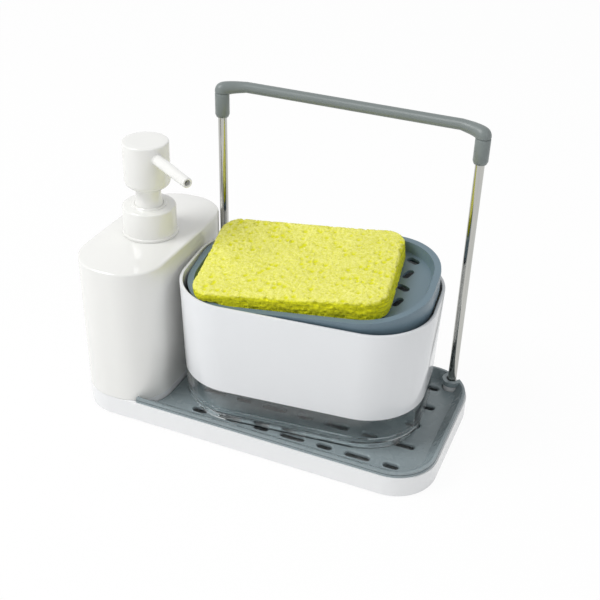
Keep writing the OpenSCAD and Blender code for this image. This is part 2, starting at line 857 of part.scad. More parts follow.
module pump_spring() {
    color("silver")
    at_bottle()
        coil(spring_d, spring_wire, spring_coils, housing_z + seat_gap, piston_z - seat_gap);
}

module pump_piston() {
    color("lightgray")
    at_bottle()
        tube(housing_bore - 2 * slide_gap, piston_bore, piston_z, collar_in_z);
}

module pump_stem() {
    color("ivory")
    at_bottle()
        tube(stem_d, stem_bore, collar_in_z, head_z);
}

module at_spout() {
    at_bottle()
        translate([0, 0, head_z + spout_z])
            rotate([0, 90 + spout_fall, -spout_turn])
                children();
}

// Round head, flat on top, with a rounded lower edge and a socket for the spout
module pump_head() {
    r = head_d / 2;
    low = [for (i = [0:round_steps]) let (a = 90 * i / round_steps)
        [r - head_round + head_round * sin(a), head_round - head_round * cos(a)]];
    high = [for (i = [0:round_steps]) let (a = 90 * i / round_steps)
        [r - head_edge + head_edge * cos(a), head_h - head_edge + head_edge * sin(a)]];
    color("ivory")
    difference() {
        union() {
            at_bottle()
                translate([0, 0, head_z])
                    rotate_extrude()
                        polygon(concat([[0, 0]], low, high, [[0, head_h]]));
            at_spout()
                cylinder(d = root_d, h = r + root_out);
        }
        at_bottle()
            translate([0, 0, head_z - overrun])
                cylinder(d = head_bore, h = spout_z + overrun + spout_bore / 2);
        at_spout()
            translate([0, 0, r - spout_in])
                cylinder(d = spout_d + 2 * press_gap, h = spout_in + root_out + overrun);
        at_spout()
            cylinder(d = spout_bore, h = r);
    }
}

module pump_spout() {
    z0 = head_d / 2 - spout_in;
    z1 = head_d / 2 + root_out;
    color("ivory")
    at_spout()
        difference() {
            union() {
                translate([0, 0, z0])
                    cylinder(d = spout_d, h = z1 - z0);
                translate([0, 0, z1])
                    cylinder(d1 = spout_d, d2 = tip_d, h = spout_reach - z1);
            }
            translate([0, 0, z0 - overrun])
                cylinder(d = spout_bore, h = spout_reach - z0 + 2 * overrun);
        }
}

// Clear tank with a rounded foot, two grooves and a neck that goes up into the sleeve
module soap_tank() {
    z1 = tank_z + tank_foot_h;
    g1 = z1 + tank_groove_dz;
    g2 = g1 + tank_groove_dz;
    color("lightblue", 0.5)
    at_disp()
        difference() {
            union() {
                tub(foot_l, foot_w, tank_r, tank_z, tank_l, tank_w, tank_r, z1);
                slab(tank_l, tank_w, tank_r, z1 - sheet, g1 - tank_groove_h - z1 + sheet);
                slab(tank_l - 2 * tank_groove_in, tank_w - 2 * tank_groove_in,
                    tank_r - tank_groove_in, z1, g2 - z1);
                slab(tank_l, tank_w, tank_r, g1, g2 - tank_groove_h - g1);
                slab(tank_l, tank_w, tank_r, g2, shoulder_z - g2);
                slab(neck_l, neck_w, neck_r, shoulder_z - tank_wall, tank_neck_h + tank_wall);
            }
            tub(foot_l - 2 * tank_wall, foot_w - 2 * tank_wall, tank_r - tank_wall, tank_in_z,
                tank_l - 2 * tank_wall, tank_w - 2 * tank_wall, tank_r - tank_wall, z1);
            slab(tank_l - 2 * tank_groove_in - 2 * tank_wall, tank_w - 2 * tank_groove_in - 2 * tank_wall,
                tank_r - tank_groove_in - tank_wall, z1 - sheet, shoulder_z - tank_wall - z1 + sheet);
            slab(neck_l - 2 * tank_wall, neck_w - 2 * tank_wall, neck_r - tank_wall,
                z1, tank_neck_z - z1 + overrun);
        }
}

// White sleeve that stands on the tank's shoulder, open at both ends, with a ledge inside
module tank_sleeve() {
    lx = sleeve_l(deck_z1);
    color("white")
    at_disp() {
        difference() {
            tub(sleeve_l0, sleeve_w, sleeve_r, shoulder_z, sleeve_l1, sleeve_w, sleeve_r, sleeve_z1);
            tub(sleeve_l0 - 2 * sleeve_wall, sleeve_w - 2 * sleeve_wall, sleeve_r - sleeve_wall,
                shoulder_z - overrun,
                sleeve_l1 - 2 * sleeve_wall, sleeve_w - 2 * sleeve_wall, sleeve_r - sleeve_wall,
                sleeve_z1 + overrun);
        }
        difference() {
            slab(lx - sleeve_wall, sleeve_w - sleeve_wall, sleeve_r - sleeve_wall / 2, deck_z1, ledge_t);
            slab(lx - 2 * sleeve_wall - 2 * ledge_w, sleeve_w - 2 * sleeve_wall - 2 * ledge_w,
                sleeve_r - sleeve_wall - ledge_w, deck_z1 - overrun, ledge_t + 2 * overrun);
        }
    }
}

// Deck that closes the tank and carries the press pump
module pump_deck() {
    lx = sleeve_l(tank_neck_z) - 2 * sleeve_wall - soft_gap;
    ly = sleeve_w - 2 * sleeve_wall - soft_gap;
    sl = neck_l - 2 * tank_wall - 2 * soft_gap;
    sw = neck_w - 2 * tank_wall - 2 * soft_gap;
    sr = neck_r - tank_wall - soft_gap;
    color("whitesmoke")
    at_disp()
        difference() {
            union() {
                slab(lx, ly, sleeve_r - sleeve_wall - soft_gap / 2, tank_neck_z, deck_t);
                slab(sl, sw, sr, tank_neck_z - skirt_h, skirt_h + sheet);
            }
            slab(sl - 2 * skirt_t, sw - 2 * skirt_t, sr - skirt_t, tank_neck_z - skirt_h - overrun,
                skirt_h + overrun);
            translate([0, 0, tank_neck_z - overrun])
                cylinder(d = press_d + 2 * press_gap, h = deck_t + 2 * overrun);
        }
}

module press_housing() {
    color("white")
    at_disp()
        difference() {
            union() {
                translate([0, 0, deck_z1])
                    cylinder(d = press_flange_d, h = press_flange_t);
                translate([0, 0, press_z - press_floor_t])
                    cylinder(d = press_d, h = deck_z1 - press_z + press_floor_t);
                translate([0, 0, press_z - press_floor_t - press_spigot_len])
                    cylinder(d = press_spigot_d, h = press_spigot_len + press_floor_t);
            }
            translate([0, 0, press_z])
                cylinder(d = press_bore, h = press_top - press_z + overrun);
            translate([0, 0, press_z - press_floor_t - overrun])
                cylinder(d = press_inlet_d, h = press_floor_t + 2 * overrun);
            translate([0, 0, press_z - press_floor_t - press_spigot_len - overrun])
                cylinder(d = press_tube_d + 2 * press_gap, h = press_spigot_len + overrun);
        }
}

module press_collar() {
    color("white")
    at_disp()
        difference() {
            union() {
                translate([0, 0, press_top])
                    cylinder(d = press_collar_d, h = press_collar_t);
                translate([0, 0, press_top])
                    cylinder(d = press_hub_d, h = press_collar_t + press_hub_h);
            }
            translate([0, 0, press_top - overrun])
                cylinder(d = press_stem_d + 2 * slide_gap,
                    h = press_collar_t + press_hub_h + 2 * overrun);
        }
}

module press_dip_tube() {
    color("white")
    at_disp()
        tube(press_tube_d, press_tube_bore, tank_in_z + press_tube_rise, press_z - press_floor_t);
}

module press_ball() {
    color("silver")
    at_disp()
        translate([0, 0, press_z + sqrt(pow(press_ball_d, 2) - pow(press_inlet_d, 2)) / 2 + seat_gap])
            sphere(d = press_ball_d);
}

module press_spring() {
    color("silver")
    at_disp()
        coil(press_spring_d, press_wire, press_coils, press_z + seat_gap, press_piston_z - seat_gap);
}

module press_piston() {
    color("lightgray")
    at_disp()
        tube(press_bore - 2 * slide_gap, press_stem_bore, press_piston_z, press_top);
}

module press_stem() {
    color("white")
    at_disp()
        tube(press_stem_d, press_stem_bore, press_top, stem_top);
}

// Soft valve disc in the tray's floor
module tray_nozzle() {
    color("gray")
    at_tray()
        translate([axis_x(tray_depth), axis_y(tray_depth), -tray_depth - nozzle_t - soft_gap])
            difference() {
                cylinder(d = nozzle_d, h = nozzle_t);
                translate([0, 0, -overrun])
                    cylinder(d = nozzle_d / 4, h = nozzle_t + 2 * overrun);
            }
}

// Inside of the tray, set in by a distance and run up past the rim
module tray_room(inset) {
    tub(tray_l - 2 * tray_slope - 2 * inset, tray_w - 2 * tray_slope - 2 * inset,
        tray_r - tray_slope - inset, -tray_depth,
        tray_l - 2 * inset, tray_w - 2 * inset, tray_r - inset, 0);
}

module leaf() {
    square([leaf_l - leaf_w, leaf_w], center = true);
    for (s = [-1, 1])
        translate([s * (leaf_l - leaf_w) / 2, 0])
            circle(d = leaf_w);
}

// Blue-grey tray with a wide rim and a skirt, a shallow dish with drain holes and a boss on the stem
module sponge_tray() {
    boss = tray_depth + tray_t + tray_boss_h;
    color("steelblue")
    difference() {
        union() {
            at_tray() {
                slab(tray_ll, tray_ww, tray_rr, -tray_lip, tray_lip);
                tub(tray_l - 2 * tray_slope + 2 * tray_t, tray_w - 2 * tray_slope + 2 * tray_t,
                    tray_r - tray_slope + tray_t, -tray_depth - tray_t,
                    tray_l + 2 * tray_t, tray_w + 2 * tray_t, tray_r + tray_t, -tray_lip + sheet);
                translate([axis_x(boss), axis_y(boss), -boss])
                    cylinder(d = tray_boss_d, h = tray_boss_h + tray_t / 2);
                difference() {
                    tub(tray_ll - 2 * tray_lean, tray_ww - 2 * tray_lean, tray_rr - tray_lean,
                        -tray_skirt, tray_ll, tray_ww, tray_rr, -tray_lip + sheet);
                    tub(tray_ll - 2 * tray_lean - 2 * tray_t, tray_ww - 2 * tray_lean - 2 * tray_t,
                        tray_rr - tray_lean - tray_t, -tray_skirt - overrun,
                        tray_ll - 2 * tray_t, tray_ww - 2 * tray_t, tray_rr - tray_t,
                        -tray_lip + 2 * sheet);
                }
            }
        }
        at_tray() {
            tray_room(0);
            slab(tray_l, tray_w, tray_r, -sheet, tray_lip);
            translate([axis_x(tray_depth), axis_y(tray_depth), -tray_depth - nozzle_t - soft_gap])
                cylinder(d = nozzle_d + 2 * press_gap, h = tray_depth);
            for (i = [0:leaf_cols - 1], j = [0:leaf_rows - 1])
                let (x = (i - (leaf_cols - 1) / 2) * leaf_dx, y = (j - (leaf_rows - 1) / 2) * leaf_dy)
                    if (norm([x, y]) > tray_boss_d && (i > 0 && i < leaf_cols - 1 || y > -leaf_dy * 1.5))
                        translate([x, y, -tray_depth - tray_t - overrun])
                            rotate([0, 0, (i + j) % 2 == 1 ? leaf_turn_a : leaf_turn_b])
                                linear_extrude(tray_t + 2 * overrun)
                                    leaf();
        }
        at_disp() {
            translate([0, 0, press_top])
                cylinder(d = press_stem_d + 2 * press_gap, h = stem_top - press_top);
            translate([0, 0, press_top])
                cylinder(d = press_stem_bore, h = tray_z - tray_depth - press_top);
        }
    }
}

// Cellulose sponge, its lower part shaped by the tray
module sponge() {
    color("khaki")
    union() {
        intersection() {
            at_sponge()
                slab(sponge_l, sponge_w, sponge_r, -tray_depth, tray_depth + sponge_up);
            at_tray() {
                tray_room(soft_gap);
                slab(tray_l - 2 * soft_gap, tray_w - 2 * soft_gap, tray_r - soft_gap,
                    -sheet, 2 * soft_gap);
            }
        }
        at_sponge()
            tub(sponge_l, sponge_w, sponge_r, soft_gap,
                sponge_l, sponge_w, sponge_r, sponge_up - sponge_edge);
        at_sponge()
            tub(sponge_l, sponge_w, sponge_r, sponge_up - sponge_edge - sheet,
                sponge_l - 2 * sponge_edge, sponge_w - 2 * sponge_edge, sponge_r - sponge_edge,
                sponge_up);
    }
}

base_tray();
base_feet();
drain_plate();
rack_rod_left();
rack_rod_right();
towel_bar();
bottle_body();
bottle_collar();
bottle_gasket();
pump_housing();
pump_dip_tube();
pump_ball();
pump_spring();
pump_piston();
pump_stem();
pump_head();
pump_spout();
soap_tank();
tank_sleeve();
pump_deck();
press_housing();
press_collar();
press_dip_tube();
press_ball();
press_spring();
press_piston();
press_stem();
tray_nozzle();
sponge_tray();
sponge();
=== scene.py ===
import math

import bmesh
import bpy
from bpy.props import FloatProperty, FloatVectorProperty, IntProperty, PointerProperty
from bpy.types import Operator, Panel, PropertyGroup
from mathutils import Matrix, Vector, noise


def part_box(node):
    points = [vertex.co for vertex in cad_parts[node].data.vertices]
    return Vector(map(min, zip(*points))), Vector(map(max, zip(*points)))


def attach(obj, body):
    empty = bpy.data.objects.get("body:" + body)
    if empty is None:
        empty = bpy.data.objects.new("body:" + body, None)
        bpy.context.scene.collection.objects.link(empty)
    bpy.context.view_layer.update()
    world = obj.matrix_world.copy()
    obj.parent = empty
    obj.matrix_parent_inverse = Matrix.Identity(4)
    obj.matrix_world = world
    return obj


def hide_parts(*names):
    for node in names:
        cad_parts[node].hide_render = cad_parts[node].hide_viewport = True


bl_info = {
    "name": "Soap Pump Caddy",
    "version": (1, 0, 0),
    "blender": (4, 5, 0),
    "location": "View3D > Sidebar > Soap Caddy",
    "description": "Dresses a soap pump caddy with its bottle, dispenser, sponge and towel rail",
    "category": "Object",
}

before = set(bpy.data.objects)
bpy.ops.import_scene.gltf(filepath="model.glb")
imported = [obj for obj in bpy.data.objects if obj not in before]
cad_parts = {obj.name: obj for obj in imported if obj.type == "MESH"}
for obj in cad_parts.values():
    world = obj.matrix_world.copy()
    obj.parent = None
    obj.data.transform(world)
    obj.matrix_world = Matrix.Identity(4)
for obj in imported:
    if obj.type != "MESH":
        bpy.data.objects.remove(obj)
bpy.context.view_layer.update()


def tone(red, green, blue):
    """A colour as a screen shows it, 0 to 255, as the linear colour that shaders use."""
    return tuple(
        c / 12.92 if c <= 0.04045 else ((c + 0.055) / 1.055) ** 2.4
        for c in (red / 255, green / 255, blue / 255)
    )


def middle(low, high):
    """Middle of a box, seen from above."""
    return (low.x + high.x) / 2, (low.y + high.y) / 2


# Sizes and colours


def length(name, value, about):
    return FloatProperty(
        name=name, description=about, default=value, min=0, unit="LENGTH", precision=5
    )


def angle(name, degrees, about):
    return FloatProperty(
        name=name, description=about, default=math.radians(degrees), subtype="ANGLE"
    )


def paint(name, value, about):
    return FloatVectorProperty(
        name=name, description=about, default=value, subtype="COLOR", size=3, min=0, max=1
    )


class CaddySizes(PropertyGroup):
    base_edge: length("Base edge", 0.0005, "Rounding of the base's edges")
    plate_edge: length("Plate edge", 0.0003, "Rounding of the drain plate's edges")
    plate_floor: length("Plate floor", 0.002, "Thickness of the drain plate's floor")
    slot_edge: length("Slot edge", 0.001, "Rounding of the slots' upper edges")
    tray_edge: length("Tray edge", 0.0003, "Rounding of the sponge tray's edges")

    bottle_r_left: length("Bottle left corners", 0.024, "Radius of the bottle's two left corners")
    bottle_r_right: length("Bottle right corners", 0.0225, "Radius of the bottle's right corners")
    bottle_wall: length("Bottle wall", 0.0016, "Wall thickness of the bottle")
    bottle_edge: length("Bottle edge", 0.0009, "Slope round the bottle's top edge")
    bottle_foot_in: length("Bottle foot inset", 0.0032, "How far the bottle's foot is set in")
    bottle_foot_h: length("Bottle foot height", 0.0095, "Height of the bottle's foot")
    neck_h: length("Neck height", 0.0122, "Height of the bottle's neck")
    neck_d: length("Neck diameter", 0.0265, "Outer diameter of the neck")
    neck_bore: length("Neck bore", 0.021, "Inner diameter of the neck")

    collar_d: length("Collar diameter", 0.0304, "Diameter of the collar over its lip")
    collar_lip_h: length("Collar lip", 0.0017, "Height of the lip round the collar's foot")
    collar_ring_d: length("Collar ring", 0.02, "Diameter of the raised ring on the collar")
    collar_ring_h: length("Collar ring height", 0.0008, "Height of the raised ring")
    stem_d: length("Stem diameter", 0.0164, "Diameter of the stem at both ends")
    stem_waist: length("Stem waist", 0.0011, "How much thinner the stem's waist is, all round")
    head_d: length("Head diameter", 0.026, "Diameter of the pump's head")
    head_round: length("Head lower rounding", 0.004, "Rounding of the head's lower edge")
    spout_d: length("Spout root", 0.0064, "Diameter of the spout at its root")
    spout_tip_d: length("Spout tip", 0.0056, "Diameter of the spout at its tip")
    spout_bore: length("Spout bore", 0.0034, "Bore of the spout")
    spout_reach: length("Spout reach", 0.0448, "Reach of the spout from the pump's axis")
    spout_z: length("Spout height", 0.02, "Height of the spout's root above the head's underside")
    spout_turn: angle("Spout turn", 31, "Direction of the spout from straight right, to the front")
    spout_fall: angle("Spout fall", 2, "Fall of the spout")

    disp_x: length("Dispenser right", 0.01886, "Place of the dispenser's middle along the caddy")
    disp_y: length("Dispenser back", 0.0024, "Place of the dispenser's middle across the caddy")
    disp_yaw: angle("Dispenser turn", 5.7, "Turn of the dispenser on the plate")
    tank_l: length("Tank length", 0.138, "Length of the clear tank")
    tank_w: length("Tank depth", 0.0868, "Depth of the clear tank")
    tank_r: length("Tank corners", 0.033, "Corner radius of the clear tank")
    tank_wall: length("Tank wall", 0.002, "Wall thickness of the clear tank")
    tank_foot_h: length("Tank foot", 0.0056, "Height of the tank's narrowing foot")
    tank_groove_in: length("Tank groove", 0.0005, "Depth of the grooves round the tank")
    tank_neck_l: length("Tank neck length", 0.1344, "Length of the tank's neck in the sleeve")
    tank_neck_w: length("Tank neck depth", 0.0848, "Depth of the tank's neck")
    tank_neck_r: length("Tank neck corners", 0.0319, "Corner radius of the tank's neck")
    shoulder_z: length("Shoulder", 0.0334, "Height of the tank's shoulder above the table")

    sleeve_l: length("Sleeve length", 0.142, "Length of the sleeve's upper edge")
    sleeve_w: length("Sleeve depth", 0.089, "Depth of the sleeve")
    sleeve_r: length("Sleeve corners", 0.034, "Corner radius of the sleeve")
    sleeve_lean: length("Sleeve lean", 0.0017, "How far each end leans in at the lower edge")
    sleeve_h: length("Sleeve height", 0.0538, "Height of the sleeve")
    sleeve_wall: length("Sleeve wall", 0.0018, "Wall thickness of the sleeve")
    ledge_z: length("Ledge height", 0.0424, "Height of the ledge inside the sleeve")
    sleeve_edge: length("Sleeve edge", 0.0005, "Rounding of the sleeve's edges")

    tray_z: length("Tray height", 0.0925, "Height of the middle of the tray's opening")
    tray_pitch: angle("Tray back rise", 5.5, "Rise of the tray's back")
    tray_roll: angle("Tray right rise", 5.7, "Rise of the tray's right end")
    sponge_left: length("Sponge left", 0.0067, "How far the sponge lies left of the tray's middle")
    sponge_turn: angle("Sponge turn", 3.4, "Turn of the sponge in the tray")
    sponge_grain: length("Sponge grid", 0.0006, "Fineness of the sponge's surface")
    corner_lift: length("Corner lift", 0.0044, "How far the sponge's back left corner curls up")
    pore_depth: length("Pore depth", 0.0009, "Depth of the sponge's larger pores")

    elbow_left: length("Left elbow", 0.013, "Sweep of the rail's left elbow along the bar")
    elbow_right: length("Right elbow", 0.013, "Sweep of the rail's right elbow along the bar")
    socket_d: length("Socket diameter", 0.0082, "Diameter of the bar's sockets")
    rod_hole: length("Rod hole", 0.00257, "Radius of the holes for the rods")
    bar_d: length("Bar diameter", 0.0061, "Diameter of the towel bar")

    steps: IntProperty(
        name="Corner steps", description="Steps round a corner", default=18, min=4, max=48
    )


class CaddyColours(PropertyGroup):
    base: paint("Base", tone(232, 233, 234), "White of the base")
    bottle: paint("Bottle", tone(232, 232, 229), "Warm white of the bottle and its pump")
    sleeve: paint("Sleeve", tone(224, 226, 228), "White of the sleeve")
    plate: paint("Drain plate", tone(141, 153, 157), "Blue grey of the drain plate")
    bar: paint("Towel bar", tone(119, 127, 126), "Grey of the towel bar")
    tray: paint("Sponge tray", tone(104, 125, 137), "Blue grey of the sponge tray")
    sponge: paint("Sponge", tone(248, 245, 140), "Yellow of the sponge")
    pores: paint("Sponge pores", tone(224, 224, 30), "Yellow deep in the sponge's pores")
    metal: paint("Rods", tone(190, 190, 185), "Metal of the rods")
    floor: paint("Floor", (1.0, 1.0, 1.0), "Floor and background")


# Modelling by hand, one step at a time


def fresh_start():
    """Leaves edit mode and deselects everything."""
    if bpy.context.object is not None and bpy.context.object.mode != "OBJECT":
        bpy.ops.object.mode_set(mode="OBJECT")
    bpy.ops.object.select_all(action="DESELECT")


def only(piece):
    """Makes a piece the one that is selected and active."""
    fresh_start()
    bpy.context.view_layer.objects.active = piece
    piece.select_set(True)


def line_marks(form):
    """The whole number that every vertex keeps of the line it was drawn in."""
    return form.verts.layers.int.get("line") or form.verts.layers.int.new("line")


def pick(test):
    """Selects the vertices that pass a test on their place and line, and nothing else."""
    mesh = bpy.context.object.data
    form = bmesh.from_edit_mesh(mesh)
    marks = line_marks(form)
    for group in (form.faces, form.edges, form.verts):
        for part in group:
            part.select = False
    for vert in form.verts:
        vert.select = test(vert.co, vert[marks])
    form.select_flush_mode()
    bmesh.update_edit_mesh(mesh)


def mark_line(number):
    """Gives the vertices of the newest line its number."""
    mesh = bpy.context.object.data
    form = bmesh.from_edit_mesh(mesh)
    marks = line_marks(form)
    for vert in form.verts:
        if not vert[marks]:
            vert[marks] = number
    bmesh.update_edit_mesh(mesh)


def rect(l, w, r, z, x=0.0, y=0.0, right=None):
    """A rounded rectangle at a height, its right corners of their own radius if given."""
    return ("rect", l, w, r, z, x, y, r if right is None else right)


def discs(rows, x=0.0, y=0.0):
    """Circles on one upright axis, each from a radius and a height."""
    return [("disc", r, z, x, y) for r, z in rows]


def rounded(r, z, bend, steps):
    """Rows of circles round a drum's upper edge, from its side to its top."""
    turns = [math.pi / 2 * k / steps for k in range(steps + 1)]
    return [(r - bend + bend * math.cos(a), z - bend + bend * math.sin(a)) for a in turns]


# Height between two lines while they are bridged, so that none lies in the plane of its neighbour
SPREAD = 0.01
# Steps a quarter turn of the larger and the smaller round pieces
ROUND, SMALL = 23, 11


def draw_line(line, steps, number):
    """Draws one closed line in edit mode, the first as a new mesh, and gives its real height."""
    place = {"location": (0, 0, 0), "rotation": (0, 0, 0), "enter_editmode": number == 1}
    if line[0] == "disc":
        _, r, z, x, y = line
        bpy.ops.mesh.primitive_circle_add(
            vertices=4 * (steps + 1), radius=r, fill_type="NOTHING", **place
        )
    else:
        _, l, w, r, z, x, y, right = line
        bpy.ops.mesh.primitive_plane_add(size=1, **place)
        bpy.ops.transform.resize(value=(l, w, 1), center_override=(0, 0, 0))
        for side, radius in ((-1, r), (1, right)):
            pick(
                lambda co, mark: not mark
                and side * co.x > l / 2 - 1e-7
                and abs(co.y) > w / 2 - 1e-7
            )
            bpy.ops.mesh.bevel(
                offset_type="OFFSET", offset=radius, segments=steps, affect="VERTICES"
            )
        pick(lambda co, mark: not mark)
        bpy.ops.mesh.delete(type="ONLY_FACE")
    pick(lambda co, mark: not mark)
    bpy.ops.transform.translate(value=(x, y, number * SPREAD))
    mark_line(number)
    return z


def loft(name, lines, steps, loop=False):
    """Skins a closed form over a row of lines, each bridged to the next."""
    fresh_start()
    heights = [draw_line(line, steps, number) for number, line in enumerate(lines, 1)]
    last = len(lines)
    bpy.ops.mesh.select_mode(type="VERT")
    for number in range(1, last):
        pick(lambda co, mark: mark in (number, number + 1))
        bpy.ops.mesh.bridge_edge_loops()
    if loop:
        pick(lambda co, mark: mark in (last, 1))
        bpy.ops.mesh.bridge_edge_loops()
    else:
        for end in (1, last):
            pick(lambda co, mark: mark == end)
            bpy.ops.mesh.edge_face_add()
    for number, height in enumerate(heights, 1):
        pick(lambda co, mark: mark == number)
        bpy.ops.transform.translate(value=(0, 0, height - number * SPREAD))
    bpy.ops.mesh.select_all(action="SELECT")
    bpy.ops.mesh.normals_make_consistent(inside=False)
    bpy.ops.object.mode_set(mode="OBJECT")
    piece = bpy.context.object
    piece.data.attributes.remove(piece.data.attributes["line"])
    piece.name = name
    piece.data.name = name
    return piece


def copy_of_node(node, name):
    """A merged copy of a CAD node, its flat faces joined again."""
    piece = bpy.data.objects.new(name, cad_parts[node].data.copy())
    bpy.context.scene.collection.objects.link(piece)
    only(piece)
    piece.data.materials.clear()
    bpy.ops.object.mode_set(mode="EDIT")
    bpy.ops.mesh.select_all(action="SELECT")
    bpy.ops.mesh.remove_doubles(threshold=1e-6)
    bpy.ops.mesh.dissolve_limited(angle_limit=math.radians(1.0))
    bpy.ops.object.mode_set(mode="OBJECT")
    piece.name = name
    return piece


def change(piece, kind, **settings):
    """Adds a modifier and applies it."""
    only(piece)
    bpy.ops.object.modifier_add(type=kind)
    modifier = piece.modifiers[-1]
    for key, value in settings.items():
        setattr(modifier, key, value)
    bpy.ops.object.modifier_apply(modifier=modifier.name)


def put(piece, place):
    """Moves a piece to its place, and the place goes into its mesh."""
    only(piece)
    piece.matrix_world = place
    bpy.ops.object.transform_apply(location=True, rotation=True, scale=True)


def close_seams(piece):
    """Merges the doubles of a piece and turns its faces outwards."""
    only(piece)
    bpy.ops.object.mode_set(mode="EDIT")
    bpy.ops.mesh.select_all(action="SELECT")
    bpy.ops.mesh.remove_doubles(threshold=1e-6)
    bpy.ops.mesh.normals_make_consistent(inside=False)
    bpy.ops.object.mode_set(mode="OBJECT")


def join(pieces, name):
    """Joins pieces into the first one."""
    fresh_start()
    for piece in pieces:
        piece.select_set(True)
    bpy.context.view_layer.objects.active = pieces[0]
    bpy.ops.object.join()
    pieces[0].name = name
    pieces[0].data.name = name
    return pieces[0]


def finish_piece(piece, body, slot, node, edge=0.0, limit=32):
    """Rounds the edges, smooths the shading, and gives the piece its body and its finish."""
    if edge:
        change(
            piece,
            "BEVEL",
            width=edge,
            segments=2,
            limit_method="ANGLE",
            angle_limit=math.radians(limit),
        )
    only(piece)
    bpy.ops.object.shade_smooth_by_angle(angle=math.radians(limit))
    if edge:
        change(piece, "WEIGHTED_NORMAL", mode="FACE_AREA", weight=80, keep_sharp=True)
    piece.data.materials.clear()
    piece.data.materials.append(finishes[slot])
    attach(piece, body)
    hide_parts(node)


def dispenser_place(sizes):
    """Where the dispenser stands on the plate. The next two places build on it."""
    return Matrix.Translation((sizes.disp_x, sizes.disp_y, 0)) @ Matrix.Rotation(
        sizes.disp_yaw, 4, "Z"
    )


def tray_place(sizes):
    return (
        dispenser_place(sizes)
        @ Matrix.Translation((0, 0, sizes.tray_z))
        @ Matrix.Rotation(sizes.tray_pitch, 4, "X")
        @ Matrix.Rotation(-sizes.tray_roll, 4, "Y")
    )


def sponge_place(sizes):
    return (
        tray_place(sizes)
        @ Matrix.Translation((-sizes.sponge_left, 0, 0))
        @ Matrix.Rotation(sizes.sponge_turn, 4, "Z")
    )


# Finishes

finishes = {}


class Graph:
    """A node tree under way."""

    def __init__(self, tree):
        self.tree = tree

    def plug(self, socket, value):
        """Feeds a socket with the output of a node or with a plain value."""
        if isinstance(value, bpy.types.NodeSocket):
            self.tree.links.new(value, socket)
        else:
            socket.default_value = value

    def add(self, kind, inputs=None, **settings):
        node = self.tree.nodes.new(kind)
        for key, value in settings.items():
            setattr(node, key, value)
        for key, value in (inputs or {}).items():
            self.plug(node.inputs[key], value)
        return node

    def combine(self, one, other, operation="ADD"):
        return self.add("ShaderNodeMath", {0: one, 1: other}, operation=operation).outputs[0]

    def between(self, share, one, other):
        """A colour between two others."""
        node = self.add("ShaderNodeMix", {"Factor": share}, data_type="RGBA")
        for key, value in (("A", one), ("B", other)):
            socket = next(s for s in node.inputs if s.name == key and s.type == "RGBA")
            self.plug(socket, value if isinstance(value, bpy.types.NodeSocket) else (*value, 1))
        return next(s for s in node.outputs if s.type == "RGBA")


class Finish(Graph):
    """A material under way: its shader and the patterns that feed it."""

    def __init__(self, slot):
        self.material = bpy.data.materials.new("finish_" + slot)
        self.material.use_nodes = True
        super().__init__(self.material.node_tree)
        self.shader = next(n for n in self.tree.nodes if n.type == "BSDF_PRINCIPLED")
        self.place = self.add("ShaderNodeTexCoord").outputs["Object"]
        finishes[slot] = self.material

    def feed(self, socket, value):
        self.plug(self.shader.inputs[socket], value)

    def stretched(self, x, y, z):
        return self.add(
            "ShaderNodeMapping", {"Vector": self.place, "Scale": (x, y, z)}
        ).outputs["Vector"]

    def clouds(self, scale, detail=3.0, roughness=0.5, place=None):
        return self.add(
            "ShaderNodeTexNoise",
            {
                "Vector": place or self.place,
                "Scale": scale,
                "Detail": detail,
                "Roughness": roughness,
            },
        ).outputs["Fac"]

    def cells(self, scale, feature="F1", place=None):
        return self.add(
            "ShaderNodeTexVoronoi",
            {"Vector": place or self.place, "Scale": scale},
            feature=feature,
        ).outputs["Distance"]

    def spread(self, value, low, high, to_low, to_high):
        return self.add(
            "ShaderNodeMapRange",
            {
                "Value": value,
                "From Min": low,
                "From Max": high,
                "To Min": to_low,
                "To Max": to_high,
            },
        ).outputs["Result"]

    def relief(self, height, depth, strength=1.0):
        node = self.add(
            "ShaderNodeBump", {"Height": height, "Distance": depth, "Strength": strength}
        )
        self.feed("Normal", node.outputs["Normal"])


def shaded(colour, share):
    """A colour made darker or lighter by a share."""
    return tuple(min(1.0, c * share) for c in colour)


def moulded_plastic(slot, colour, rough, grain, depth, mottle=0.03, coat=0.0):
    """Moulded plastic: faint flow marks in its colour, a fine grain and uneven gloss."""
    finish = Finish(slot)
    flow = finish.clouds(22, 4, 0.55)
    share = finish.spread(flow, 0.3, 0.7, 0, 1)
    finish.feed("Base Color", finish.between(share, shaded(colour, 1 - mottle), colour))
    gloss = finish.clouds(90, 3, 0.6)
    finish.feed("Roughness", finish.spread(gloss, 0.3, 0.7, rough * 0.88, rough * 1.15))
    fine = finish.clouds(grain, 2, 0.5)
    waves = finish.clouds(55, 1, 0.4)
    finish.relief(finish.combine(fine, finish.combine(waves, 3.0, "MULTIPLY")), depth, 0.35)
    finish.feed("IOR", 1.47)
    finish.feed("Coat Weight", coat)
    finish.feed("Coat Roughness", 0.08)
    return finish


